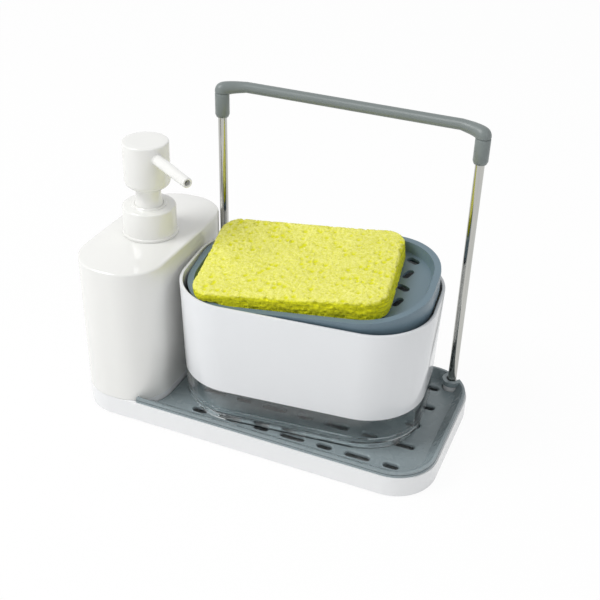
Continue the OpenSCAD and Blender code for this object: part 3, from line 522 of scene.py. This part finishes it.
class CADDY_OT_finishes(Operator):
    """Makes the procedural materials of all the pieces"""

    bl_idname = "caddy.finishes"
    bl_label = "Finishes"

    def execute(self, context):
        colours = context.scene.caddy_colours
        moulded_plastic("white_base", tuple(colours.base), 0.2, 1400, 0.000005, 0.01)
        moulded_plastic("warm_white", tuple(colours.bottle), 0.13, 1500, 0.000005, 0.015, 0.5)
        moulded_plastic("sleeve_white", tuple(colours.sleeve), 0.12, 1200, 0.000006, 0.012)
        moulded_plastic("grey_plate", tuple(colours.plate), 0.27, 2200, 0.00003, 0.08)
        moulded_plastic("bar_grey", tuple(colours.bar), 0.36, 2600, 0.00003, 0.06)
        moulded_plastic("tray_blue", tuple(colours.tray), 0.33, 2200, 0.00003, 0.07)
        moulded_plastic("inner_plastic", tone(222, 224, 224), 0.4, 1500, 0.00002)
        moulded_plastic("grey_rubber", tone(88, 92, 95), 0.75, 3200, 0.00006, 0.15)
        moulded_plastic("seal_rubber", tone(120, 122, 122), 0.7, 3000, 0.00005, 0.12)
        self.chrome("rod_chrome", tuple(colours.metal), 0.1)
        self.chrome("spring_steel", tone(190, 190, 188), 0.22)
        self.clear("clear_plastic")
        self.foam("sponge_yellow", tuple(colours.sponge), tuple(colours.pores))
        return {"FINISHED"}

    def chrome(self, slot, colour, rough):
        """Polished metal with faint marks along it."""
        finish = Finish(slot)
        along = finish.stretched(1, 1, 0.02)
        marks = finish.clouds(1800, 3, 0.6, along)
        share = finish.spread(marks, 0.35, 0.7, 0, 1)
        finish.feed("Base Color", finish.between(share, colour, shaded(colour, 0.88)))
        finish.feed("Metallic", 1.0)
        wear = finish.clouds(140, 4, 0.6)
        finish.feed("Roughness", finish.spread(wear, 0.3, 0.8, rough * 0.7, rough * 1.6))
        finish.relief(marks, 0.000004, 0.3)

    def clear(self, slot):
        """Clear moulded plastic that bends what lies behind it and lets the light through."""
        finish = Finish(slot)
        flow = finish.clouds(30, 3, 0.5)
        finish.feed(
            "Base Color",
            finish.between(
                finish.spread(flow, 0.3, 0.7, 0, 1), tone(246, 249, 250), tone(251, 253, 253)
            ),
        )
        finish.feed("Transmission Weight", 1.0)
        shadow = finish.add("ShaderNodeLightPath").outputs["Is Shadow Ray"]
        finish.feed("Alpha", finish.spread(shadow, 0.0, 1.0, 1.0, 0.05))
        finish.feed("IOR", 1.45)
        haze = finish.clouds(120, 3, 0.6)
        finish.feed("Roughness", finish.spread(haze, 0.3, 0.8, 0.01, 0.05))
        finish.relief(finish.clouds(70, 2, 0.5), 0.00003, 0.3)

    def foam(self, slot, colour, deep):
        """Cellulose foam: pores of several sizes, deeper yellow in them, partly the foam's own
        colour and partly painted shade in the hollows, and richer on the cut sides.
        """
        finish = Finish(slot)
        pores = finish.add("ShaderNodeAttribute", attribute_name="pore").outputs["Fac"]
        sides = finish.add("ShaderNodeAttribute", attribute_name="side").outputs["Fac"]
        tiny = finish.spread(finish.cells(1100), 0.1, 0.45, 1, 0)
        patch = finish.clouds(300, 5, 0.65)
        fine = finish.combine(tiny, finish.spread(patch, 0.4, 0.56, 0, 0.9), "MULTIPLY")
        blots = finish.spread(finish.clouds(820, 5, 0.7), 0.46, 0.6, 0, 0.7)
        holes = finish.combine(finish.combine(pores, fine, "MAXIMUM"), blots, "MAXIMUM")
        pale = finish.between(
            finish.spread(finish.clouds(45, 4, 0.6), 0.35, 0.65, 0, 1),
            shaded(colour, 0.92),
            colour,
        )
        layers = finish.clouds(400, 3, 0.6, finish.stretched(0.25, 0.25, 2.2))
        cut = finish.between(
            finish.spread(layers, 0.38, 0.62, 0, 1), shaded(deep, 0.84), shaded(deep, 1.25)
        )
        # Painted shade: the pore mask turns the top the deeper yellow in the pores, partly the
        # foam's own colour and partly painted shade in the hollows
        top = finish.between(holes, pale, deep)
        finish.feed("Base Color", finish.between(sides, top, cut))
        finish.feed("Roughness", 0.92)
        finish.feed("Sheen Weight", 0.1)
        finish.feed("Sheen Roughness", 0.5)
        finish.feed("Specular IOR Level", 0.2)
        fibre = finish.combine(finish.clouds(2400, 4, 0.65), 0.5, "MULTIPLY")
        relief = finish.combine(fibre, finish.combine(fine, blots, "ADD"), "SUBTRACT")
        finish.relief(relief, 0.0003, 0.6)


# Pieces


class CADDY_OT_base(Operator):
    """Base tray with softly rounded edges, on its rubber feet"""

    bl_idname = "caddy.base"
    bl_label = "Base tray"

    def execute(self, context):
        piece = copy_of_node("base_tray", "base_shell")
        finish_piece(
            piece, "base", "white_base", "base_tray", edge=context.scene.caddy_sizes.base_edge
        )
        return {"FINISHED"}


def round_slots(piece, height, edge):
    """Rounds the edges where upright walls meet a flat floor at a height."""
    only(piece)
    bpy.ops.object.mode_set(mode="EDIT")
    bpy.ops.mesh.select_mode(type="EDGE")
    bpy.ops.mesh.select_all(action="DESELECT")
    form = bmesh.from_edit_mesh(piece.data)
    for line in form.edges:
        flat = all(abs(vert.co.z - height) < 2e-5 for vert in line.verts)
        steep = [abs(face.normal.z) < 0.3 for face in line.link_faces]
        line.select_set(flat and any(steep) and not all(steep))
    bmesh.update_edit_mesh(piece.data)
    bpy.ops.mesh.bevel(offset_type="OFFSET", offset=edge, segments=4, affect="EDGES")
    bpy.ops.mesh.select_mode(type="VERT")
    bpy.ops.object.mode_set(mode="OBJECT")


class CADDY_OT_drain_plate(Operator):
    """Drain plate with its grooved rim, slots and notches"""

    bl_idname = "caddy.drain_plate"
    bl_label = "Drain plate"

    def execute(self, context):
        sizes = context.scene.caddy_sizes
        piece = copy_of_node("drain_plate", "plate_dish")
        round_slots(piece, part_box("drain_plate")[0].z + sizes.plate_floor, sizes.slot_edge)
        finish_piece(piece, "plate", "grey_plate", "drain_plate", edge=sizes.plate_edge)
        return {"FINISHED"}


class CADDY_OT_bottle(Operator):
    """Hollow bottle with a foot that drops into the base and a neck for the pump"""

    bl_idname = "caddy.bottle"
    bl_label = "Bottle"

    def execute(self, context):
        sizes = context.scene.caddy_sizes
        low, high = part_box("bottle_body")
        base_top = low.z + sizes.bottle_foot_h
        top = high.z - sizes.neck_h
        x, y = middle(low, high)
        wall = sizes.bottle_wall
        edge = sizes.bottle_edge

        def line(inset, z):
            return rect(
                high.x - low.x - 2 * inset,
                high.y - low.y - 2 * inset,
                sizes.bottle_r_left - inset,
                z,
                x,
                y,
                right=sizes.bottle_r_right - inset,
            )

        foot = sizes.bottle_foot_in
        lines = [
            line(foot + 0.0006, low.z),
            line(foot, low.z + 0.0006),
            line(foot, base_top),
            line(0.0002, base_top),
            line(0, base_top + 0.0002),
            line(0, top - edge * 1.15),
            line(edge * 0.1, top - edge * 0.85),
            line(edge * 0.72, top - edge * 0.16),
            line(edge * 1.15, top),
            *(
                rect(d, d, d * 0.4999, z, x, y)
                for d, z in (
                    (sizes.neck_d, top),
                    (sizes.neck_d, high.z - 0.0003),
                    (sizes.neck_d - 0.0006, high.z),
                    (sizes.neck_bore, high.z),
                    (sizes.neck_bore, top - wall),
                )
            ),
            line(wall, top - wall),
            line(wall, base_top + wall),
            line(foot + wall, base_top + wall),
            line(foot + wall, low.z + wall),
        ]
        piece = loft("bottle_shell", lines, sizes.steps)
        finish_piece(piece, "bottle", "warm_white", "bottle_body")
        return {"FINISHED"}


class CADDY_OT_collar(Operator):
    """Screw collar with a lip at its foot and a raised ring on top"""

    bl_idname = "caddy.collar"
    bl_label = "Collar"

    def execute(self, context):
        sizes = context.scene.caddy_sizes
        low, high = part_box("bottle_collar")
        x, y = middle(low, high)
        lip = (high.x - low.x) / 2
        side = sizes.collar_d / 2
        ring = sizes.collar_ring_d / 2
        top = high.z - sizes.collar_ring_h
        hole = sizes.stem_d / 2 + 0.00006
        neck = sizes.neck_d / 2 + 0.0001
        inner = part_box("pump_housing")[1].z + 0.0001
        rows = [
            (neck, low.z),
            (lip - 0.0003, low.z),
            (lip, low.z + 0.0003),
            (lip, low.z + sizes.collar_lip_h - 0.0004),
            (lip - 0.0003, low.z + sizes.collar_lip_h),
            (side + 0.0001, low.z + sizes.collar_lip_h + 0.0001),
            (side, low.z + sizes.collar_lip_h + 0.0005),
            (side, top - 0.001),
            (side - 0.0002, top - 0.0005),
            (side - 0.0006, top - 0.00012),
            (side - 0.001, top),
            (ring + 0.0002, top),
            (ring, top + 0.0002),
            (ring, high.z - 0.0003),
            (ring - 0.0003, high.z),
            (hole + 0.0002, high.z),
            (hole, high.z - 0.0002),
            (hole, inner),
            (neck, inner),
        ]
        piece = loft("collar_shell", discs(rows, x, y), ROUND, loop=True)
        finish_piece(piece, "collar", "warm_white", "bottle_collar")
        return {"FINISHED"}


class CADDY_OT_stem(Operator):
    """Waisted stem between the collar and the head"""

    bl_idname = "caddy.stem"
    bl_label = "Pump stem"

    def execute(self, context):
        sizes = context.scene.caddy_sizes
        low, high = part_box("pump_stem")
        x, y = middle(low, high)
        r = sizes.stem_d / 2
        bore = r - 0.0022
        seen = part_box("bottle_collar")[1].z
        rise = high.z - seen
        rows = [(bore, low.z), (r, low.z), (r, seen)]
        for k in range(1, 12):
            share = k / 12
            waist = math.sin(math.pi * share) ** 0.8 * sizes.stem_waist
            rows.append((r - waist, seen + rise * share))
        rows += [(r + 0.0001, high.z - 0.0004), (r + 0.0005, high.z), (bore, high.z)]
        piece = loft("stem_tube", discs(rows, x, y), ROUND, loop=True)
        finish_piece(piece, "plunger", "warm_white", "pump_stem")
        return {"FINISHED"}


class CADDY_OT_head(Operator):
    """Press head with a rounded lower edge and a ring round the spout's root"""

    bl_idname = "caddy.head"
    bl_label = "Pump head"

    def execute(self, context):
        sizes = context.scene.caddy_sizes
        low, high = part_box("pump_head")
        top = high.z
        r = sizes.head_d / 2
        bend = sizes.head_round
        rows = []
        for k in range(9):
            a = math.pi / 2 * k / 8
            rows.append((r - bend + bend * math.sin(a), low.z + bend - bend * math.cos(a)))
        rows += rounded(r, top, 0.001, 4)
        rows += [(0.6 * r, top - 0.00012), (0.0004, top - 0.0002)]
        drum = loft("head_drum", discs(rows, low.x + r), ROUND)
        hole = sizes.spout_d / 2 + 0.00002
        root = sizes.spout_d / 2 + 0.0003
        rows = [
            (root, r * 0.7),
            (root, r + 0.0004),
            (root - 0.0002, r + 0.0006),
            (hole, r + 0.0006),
            (hole, r * 0.7),
        ]
        ring = loft("head_ring", discs(rows), SMALL, loop=True)
        put(ring, spout_place(sizes))
        piece = join([drum, ring], "head_shell")
        finish_piece(piece, "head", "warm_white", "pump_head")
        return {"FINISHED"}


def spout_place(sizes):
    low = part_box("pump_head")[0]
    return (
        Matrix.Translation((low.x + sizes.head_d / 2, 0, low.z + sizes.spout_z))
        @ Matrix.Rotation(-sizes.spout_turn, 4, "Z")
        @ Matrix.Rotation(math.radians(90) + sizes.spout_fall, 4, "Y")
    )


class CADDY_OT_spout(Operator):
    """Tapered spout with an open, rounded tip"""

    bl_idname = "caddy.spout"
    bl_label = "Spout"

    def execute(self, context):
        sizes = context.scene.caddy_sizes
        start = sizes.head_d / 2 - 0.005
        root = sizes.head_d / 2 + 0.001
        reach = sizes.spout_reach
        r0, r1, bore = sizes.spout_d / 2, sizes.spout_tip_d / 2, sizes.spout_bore / 2
        rows = [(bore, start), (r0, start), (r0, root)]
        for k in range(1, 7):
            share = k / 7
            rows.append((r0 + (r1 - r0) * share, root + (reach - 0.0006 - root) * share))
        rows += rounded(r1, reach, 0.0005, 3)
        rows += [(bore + 0.0002, reach), (bore, reach - 0.0002)]
        piece = loft("spout_tube", discs(rows), SMALL, loop=True)
        put(piece, spout_place(sizes))
        finish_piece(piece, "head", "warm_white", "pump_spout")
        return {"FINISHED"}


class CADDY_OT_tank(Operator):
    """Clear tank with a narrowing foot, two grooves and a neck inside the sleeve"""

    bl_idname = "caddy.tank"
    bl_label = "Soap tank"

    def execute(self, context):
        sizes = context.scene.caddy_sizes
        low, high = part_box("soap_tank")
        l, w, r = sizes.tank_l, sizes.tank_w, sizes.tank_r
        t = sizes.tank_wall
        groove = sizes.tank_groove_in
        floor = low.z
        foot = floor + sizes.tank_foot_h
        shoulder = sizes.shoulder_z

        def side(inset, z):
            return rect(l - 2 * inset, w - 2 * inset, r - inset, z)

        def neck(inset, z):
            return rect(
                sizes.tank_neck_l - 2 * inset,
                sizes.tank_neck_w - 2 * inset,
                sizes.tank_neck_r - inset,
                z,
            )

        lines = [
            rect(l - 0.0036, w - 0.0078, r - 0.001, floor),
            rect(l - 0.0024, w - 0.006, r, floor + 0.0006),
            rect(l - 0.0012, w - 0.0029, r, floor + 0.0033),
            rect(l - 0.0004, w - 0.001, r, foot - 0.0008),
            side(0, foot + 0.0004),
            side(0, foot + 0.0018),
            side(groove, foot + 0.0021),
            side(groove, foot + 0.0024),
            side(0, foot + 0.0027),
            side(0, foot + 0.0044),
            side(groove, foot + 0.0047),
            side(groove, foot + 0.005),
            side(0, foot + 0.0053),
            side(0, shoulder - 0.0004),
            side(0.0003, shoulder),
            neck(0, shoulder),
            neck(0, high.z - 0.0002),
            neck(0.0002, high.z),
            neck(t, high.z),
            neck(t, shoulder - t),
            side(groove + t, shoulder - t),
            side(groove + t, foot + 0.0004),
            rect(l - 0.0024 - 2 * t, w - 0.0052 - 2 * t, r - t, floor + t + 0.001),
            rect(l - 0.0044 - 2 * t, w - 0.0076 - 2 * t, r - t - 0.001, floor + t + 0.0002),
        ]
        piece = loft("tank_shell", lines, sizes.steps)
        put(piece, dispenser_place(sizes))
        finish_piece(piece, "tank", "clear_plastic", "soap_tank", limit=24)
        return {"FINISHED"}


class CADDY_OT_sleeve(Operator):
    """White sleeve, open above and below, with a ledge inside for the deck"""

    bl_idname = "caddy.sleeve"
    bl_label = "Sleeve"

    def execute(self, context):
        sizes = context.scene.caddy_sizes
        z0 = sizes.shoulder_z
        z1 = z0 + sizes.sleeve_h
        t = sizes.sleeve_wall
        e = sizes.sleeve_edge
        ledge = sizes.ledge_z

        def line(inset, z):
            share = (z - z0) / (z1 - z0)
            l = sizes.sleeve_l - 2 * sizes.sleeve_lean * (1 - share)
            return rect(l - 2 * inset, sizes.sleeve_w - 2 * inset, sizes.sleeve_r - inset, z)

        lines = [
            line(e * 0.6, z0),
            line(e * 0.15, z0 + e * 0.25),
            line(0, z0 + e),
            line(0, z1 - e),
            line(e * 0.3, z1 - e * 0.3),
            line(e, z1),
            line(t - e * 0.8, z1),
            line(t - e * 0.2, z1 - e * 0.25),
            line(t, z1 - e),
            line(t, ledge + 0.002),
            line(t + 0.003, ledge + 0.002),
            line(t + 0.003, ledge),
            line(t, ledge),
            line(t, z0 + 0.0003),
            line(t - 0.0003, z0),
        ]
        piece = loft("sleeve_shell", lines, sizes.steps + 8, loop=True)
        put(piece, dispenser_place(sizes))
        finish_piece(piece, "sleeve", "sleeve_white", "tank_sleeve", limit=40)
        return {"FINISHED"}


class CADDY_OT_sponge_tray(Operator):
    """Blue-grey tray with its rim, skirt, dish and drain holes"""

    bl_idname = "caddy.sponge_tray"
    bl_label = "Sponge tray"

    def execute(self, context):
        piece = copy_of_node("sponge_tray", "tray_dish")
        finish_piece(
            piece, "tray", "tray_blue", "sponge_tray", edge=context.scene.caddy_sizes.tray_edge
        )
        return {"FINISHED"}


# Pores of three sizes: cells a millimetre, share of the cells that hold one, radius in cells,
# salt, how deep they go and how far they darken the colour, partly the foam's own deeper yellow
# and partly painted shade
PORES = (
    (0.3, 0.5, 0.6, 3.7, 1.0, 1.0),
    (0.6, 0.6, 0.56, 11.3, 0.7, 0.8),
    (1.1, 0.8, 0.52, 27.1, 0.45, 0.55),
)
# Waves a millimetre of the ragged surface, and their shares
RAGGED = ((0.08, 0.35), (0.7, 0.12), (1.7, 0.14))


def pore_at(spot, scale, share, size, salt):
    """How deep in a pore a point lies, from 0 to 1. Only a share of the cells holds a pore."""
    distances, centres = noise.voronoi(Vector(spot) * scale + Vector((salt, salt, salt)))
    chance = (noise.cell(centres[0] * 7.31) + 1) / 2
    if chance > share:
        return 0.0
    radius = size * (0.45 + 0.55 * (1 - chance / share))
    return max(0.0, min(1.0, (radius - distances[0]) / (0.4 * radius)))


class CADDY_OT_sponge(Operator):
    """Cellulose sponge with pores in its surface and its lower part shaped by the tray"""

    bl_idname = "caddy.sponge"
    bl_label = "Sponge"

    def execute(self, context):
        sizes = context.scene.caddy_sizes
        piece = copy_of_node("sponge", "sponge_block")
        change(piece, "REMESH", mode="VOXEL", voxel_size=sizes.sponge_grain)
        change(piece, "SMOOTH", factor=0.5, iterations=2)
        there = sponge_place(sizes)
        back = there.inverted()
        mesh = piece.data
        pores = mesh.attributes.new("pore", "FLOAT", "POINT")
        sides = mesh.attributes.new("side", "FLOAT", "POINT")
        normals = [n.vector.copy() for n in mesh.vertex_normals]
        turn = back.to_3x3()
        for vert, normal, mark, side in zip(mesh.vertices, normals, pores.data, sides.data):
            spot = back @ vert.co * 1000
            out = turn @ normal
            upright = abs(out.z)
            found = [(pore_at(spot, *row[:4]), row[4], row[5]) for row in PORES]
            ragged = sum(noise.noise(spot * scale) * share for scale, share in RAGGED)
            dent = sizes.pore_depth * max(pore * share for pore, share, _ in found)
            dent -= 0.0005 * ragged
            if upright < 0.6:
                layers = noise.noise(Vector((spot.x * 0.1, spot.y * 0.1, spot.z * 1.1)))
                dent += 0.00022 * layers
            spot -= out * dent * 1000
            lift = max(0.0, min(1.0, (spot.z + 4) / 10.5))
            corner = max(0.0, (spot.y + 20) / 55.5) ** 1.6 * max(0.0, (40 - spot.x) / 93) ** 1.3
            spot.z += sizes.corner_lift * 1000 * corner * lift
            vert.co = there @ (spot / 1000)
            # The pore mark turns the pores the deeper yellow: partly the foam's own colour, partly
            # painted shade, stronger in the larger, deeper pores
            mark.value = max(pore * share for pore, _, share in found)
            side.value = 1 - min(1.0, upright * 1.3)
        mesh.update()
        finish_piece(piece, "sponge", "sponge_yellow", "sponge", limit=80)
        return {"FINISHED"}


class CADDY_OT_rail(Operator):
    """Towel bar with its two bends and the sockets that take the rods"""

    bl_idname = "caddy.rail"
    bl_label = "Towel bar"

    def execute(self, context):
        sizes = context.scene.caddy_sizes
        low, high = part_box("towel_bar")
        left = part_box("rack_rod_left")
        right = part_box("rack_rod_right")
        rod_y = (left[0].y + left[1].y) / 2
        x0 = (left[0].x + left[1].x) / 2
        x1 = (right[0].x + right[1].x) / 2
        socket = sizes.socket_d / 2
        bar = sizes.bar_d / 2
        back = high.y - bar - rod_y
        seam = high.z - 0.006

        # The bend as shares of its way along, back and up, and of its way from socket to bar
        bend = []
        count = 18
        for k in range(count + 1):
            turn = math.pi / 2 * k / count
            along = 1 - math.cos(turn) ** 0.34 if k < count else 1.0
            up = math.sin(turn) ** 0.36
            bend.append((along, 1 - (1 - along) ** 1.35, up, along**0.7))
        route = []
        for x, run, rows in ((x0, sizes.elbow_left, bend), (x1, -sizes.elbow_right, bend[::-1])):
            for along, across, up, thin in rows:
                radius = socket + (bar - socket) * thin
                z = seam + (high.z - radius - seam) * up
                route.append((x + run * along, rod_y + back * across, z, radius))
        fresh_start()
        bpy.ops.curve.primitive_nurbs_path_add(location=(0, 0, 0), rotation=(0, 0, 0))
        line = bpy.context.object
        line.data.splines.clear()
        spline = line.data.splines.new("POLY")
        spline.points.add(len(route) - 1)
        for point, (x, y, z, radius) in zip(spline.points, route):
            point.co = (x, y, z, 1)
            point.radius = radius
        line.data.dimensions = "3D"
        line.data.bevel_depth = 1.0
        line.data.bevel_resolution = 12
        line.data.use_fill_caps = True
        line.select_set(True)
        bpy.ops.object.convert(target="MESH")
        pieces = [bpy.context.object]
        foot = low.z
        rod = sizes.rod_hole
        for x in (x0, x1):
            rows = [
                (rod, foot + 0.012),
                (rod, foot + 0.0002),
                (rod + 0.0005, foot + 0.0002),
                (rod + 0.0009, foot + 0.0004),
                (socket - 0.0002, foot + 0.0015),
                (socket, foot + 0.0019),
                (socket, seam - 0.0009),
                (socket - 0.0001, seam - 0.0007),
                (socket - 0.0005, seam - 0.0005),
                (socket - 0.0005, seam + 0.0003),
            ]
            pieces.append(loft("rail_socket", discs(rows, x, rod_y), SMALL))
        piece = join(pieces, "rail_bar")
        close_seams(piece)
        finish_piece(piece, "rack", "bar_grey", "towel_bar", limit=45)
        return {"FINISHED"}


class CADDY_OT_small_parts(Operator):
    """Finishes of the rods, feet, seals, valves, springs, tubes and the other CAD parts"""

    bl_idname = "caddy.small_parts"
    bl_label = "Small parts"

    def execute(self, context):
        slots = {
            "rod_chrome": ("rack_rod_left", "rack_rod_right"),
            "grey_rubber": ("base_feet",),
            "seal_rubber": ("bottle_gasket", "tray_nozzle"),
            "spring_steel": ("pump_ball", "pump_spring", "press_ball", "press_spring"),
            "inner_plastic": (
                "pump_housing",
                "pump_dip_tube",
                "pump_piston",
                "pump_deck",
                "press_housing",
                "press_collar",
                "press_dip_tube",
                "press_piston",
                "press_stem",
            ),
        }
        for slot, names in slots.items():
            for name in names:
                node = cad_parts[name]
                node.data.materials.clear()
                node.data.materials.append(finishes[slot])
        return {"FINISHED"}


# Stage

# Share of plain white that the camera sees on the floor, the rest being its lit surface
FLOOR_GLOW = 0.95
# The sky's colours on the left and on the right, and its strength
SKY_COLOURS = ((0.86, 0.86, 0.86), (0.72, 0.73, 0.74))
SKY_STRENGTH = 0.66
# Each lamp's name, place and power in watts, and what they share
LAMPS = (
    ("key_lamp", (-0.8, -0.6, 1.2), 13.6),
    ("side_lamp", (1.2, -0.5, 0.7), 2.6),
)
LAMP_SIZE = 0.8
LAMP_TARGET = Vector((0, 0, 0.06))
# The camera as fitted to the photograph: turn, rise and roll in degrees, place and lens
CAMERA_ANGLES = (22.172, 31.788, 1.607)
CAMERA_PLACE = (0.18667, -0.42646, 0.35915)
CAMERA_LENS = 58.79


class CADDY_OT_stage(Operator):
    """Pale floor, soft lamps, bright surroundings and the camera"""

    bl_idname = "caddy.stage"
    bl_label = "Stage"

    def execute(self, context):
        scene = context.scene
        fresh_start()
        bpy.ops.mesh.primitive_plane_add(size=6, location=(0, 0, -0.0001))
        floor = context.object
        floor.name = "stage_floor"
        floor.data.materials.append(self.floor_finish(tuple(scene.caddy_colours.floor)))
        self.surroundings(scene)
        for row in LAMPS:
            self.lamp(*row)
        self.camera(scene)
        scene.view_settings.view_transform = "Standard"
        return {"FINISHED"}

    def looking(self, graph):
        """1 for the camera's rays, for reflections and for what is seen through clear plastic."""
        path = graph.add("ShaderNodeLightPath")
        rays = path.outputs["Is Camera Ray"]
        for other in ("Is Glossy Ray", "Is Transmission Ray"):
            rays = graph.combine(rays, path.outputs[other], "MAXIMUM")
        return rays

    def blended(self, graph, share, plain, seen):
        """What the object's light meets, and what the rays of looking see instead."""
        inputs = {0: share, 1: plain.outputs[0], 2: seen.outputs[0]}
        return graph.add("ShaderNodeMixShader", inputs).outputs[0]

    def floor_finish(self, colour):
        """Nearly white to the camera, with the shadow on it, and matte to the object's light."""
        material = bpy.data.materials.new("finish_floor")
        material.use_nodes = True
        material.node_tree.nodes.clear()
        graph = Graph(material.node_tree)
        place = graph.add("ShaderNodeTexCoord").outputs["Object"]
        clouds = graph.add("ShaderNodeTexNoise", {"Vector": place, "Scale": 3}).outputs["Fac"]
        tint = graph.between(clouds, shaded(colour, 0.9), shaded(colour, 0.92))
        matte = graph.add("ShaderNodeBsdfDiffuse", {"Color": tint})
        glow = graph.add("ShaderNodeEmission", {"Color": (*colour, 1), "Strength": 1.0})
        share = graph.combine(self.looking(graph), FLOOR_GLOW, "MULTIPLY")
        surface = self.blended(graph, share, matte, glow)
        graph.add("ShaderNodeOutputMaterial", {"Surface": surface})
        return material

    def surroundings(self, scene):
        """White to the camera, and a pale sky that darkens to the right to the object."""
        world = bpy.data.worlds.new("surroundings")
        scene.world = world
        world.use_nodes = True
        world.node_tree.nodes.clear()
        graph = Graph(world.node_tree)
        place = graph.add("ShaderNodeTexCoord").outputs["Generated"]
        apart = graph.add("ShaderNodeSeparateXYZ", {0: place})
        ramp = graph.add("ShaderNodeValToRGB", {"Fac": apart.outputs["X"]})
        for element, colour in zip(ramp.color_ramp.elements, SKY_COLOURS):
            element.color = (*colour, 1)
        sky = {"Color": ramp.outputs["Color"], "Strength": SKY_STRENGTH}
        around = graph.add("ShaderNodeBackground", sky)
        seen = graph.add("ShaderNodeBackground", {"Color": (1, 1, 1, 1), "Strength": 1.0})
        surface = self.blended(graph, self.looking(graph), around, seen)
        graph.add("ShaderNodeOutputWorld", {"Surface": surface})

    def lamp(self, name, place, power):
        fresh_start()
        toward = LAMP_TARGET - Vector(place)
        bpy.ops.object.light_add(
            type="AREA", location=place, rotation=toward.to_track_quat("-Z", "Y").to_euler()
        )
        lamp = bpy.context.object
        lamp.name = name
        lamp.data.shape = "DISK"
        lamp.data.size = LAMP_SIZE
        lamp.data.energy = power

    def camera(self, scene):
        """Stands where the photograph was taken from."""
        turn, rise, roll = (math.radians(a) for a in CAMERA_ANGLES)
        back = Vector(
            (math.sin(turn) * math.cos(rise), -math.cos(turn) * math.cos(rise), math.sin(rise))
        )
        flat = Vector((math.cos(turn), math.sin(turn), 0))
        top = back.cross(flat)
        right = math.cos(roll) * flat + math.sin(roll) * top
        up = math.cos(roll) * top - math.sin(roll) * flat
        place = Matrix.Identity(4)
        for column, side in enumerate((right, up, back)):
            for row in range(3):
                place[row][column] = side[row]
        place.translation = CAMERA_PLACE
        fresh_start()
        bpy.ops.object.camera_add(location=(0, 0, 0), rotation=(0, 0, 0))
        camera = bpy.context.object
        camera.name = "photo_camera"
        camera.matrix_world = place
        camera.data.sensor_width = 36
        camera.data.lens = CAMERA_LENS
        camera.data.clip_start = 0.01
        scene.camera = camera


# Add-on

PIECES = (
    CADDY_OT_finishes,
    CADDY_OT_base,
    CADDY_OT_drain_plate,
    CADDY_OT_rail,
    CADDY_OT_bottle,
    CADDY_OT_collar,
    CADDY_OT_stem,
    CADDY_OT_head,
    CADDY_OT_spout,
    CADDY_OT_tank,
    CADDY_OT_sleeve,
    CADDY_OT_sponge_tray,
    CADDY_OT_sponge,
    CADDY_OT_small_parts,
    CADDY_OT_stage,
)


class CADDY_PT_panel(Panel):
    """Lists the pieces of the caddy"""

    bl_idname = "CADDY_PT_panel"
    bl_label = "Soap Pump Caddy"
    bl_space_type = "VIEW_3D"
    bl_region_type = "UI"
    bl_category = "Soap Caddy"

    def draw(self, context):
        for piece in PIECES:
            self.layout.operator(piece.bl_idname)
        for group in (context.scene.caddy_sizes, context.scene.caddy_colours):
            box = self.layout.box()
            for key in group.__annotations__:
                box.prop(group, key)


def register():
    for kind in (CaddySizes, CaddyColours, *PIECES, CADDY_PT_panel):
        bpy.utils.register_class(kind)
    bpy.types.Scene.caddy_sizes = PointerProperty(type=CaddySizes)
    bpy.types.Scene.caddy_colours = PointerProperty(type=CaddyColours)


def unregister():
    del bpy.types.Scene.caddy_colours
    del bpy.types.Scene.caddy_sizes
    for kind in (CADDY_PT_panel, *reversed(PIECES), CaddyColours, CaddySizes):
        bpy.utils.unregister_class(kind)


def main():
    register()
    for piece in PIECES:
        group, name = piece.bl_idname.split(".")
        getattr(getattr(bpy.ops, group), name)()
    fresh_start()


if __name__ == "__main__":
    main()
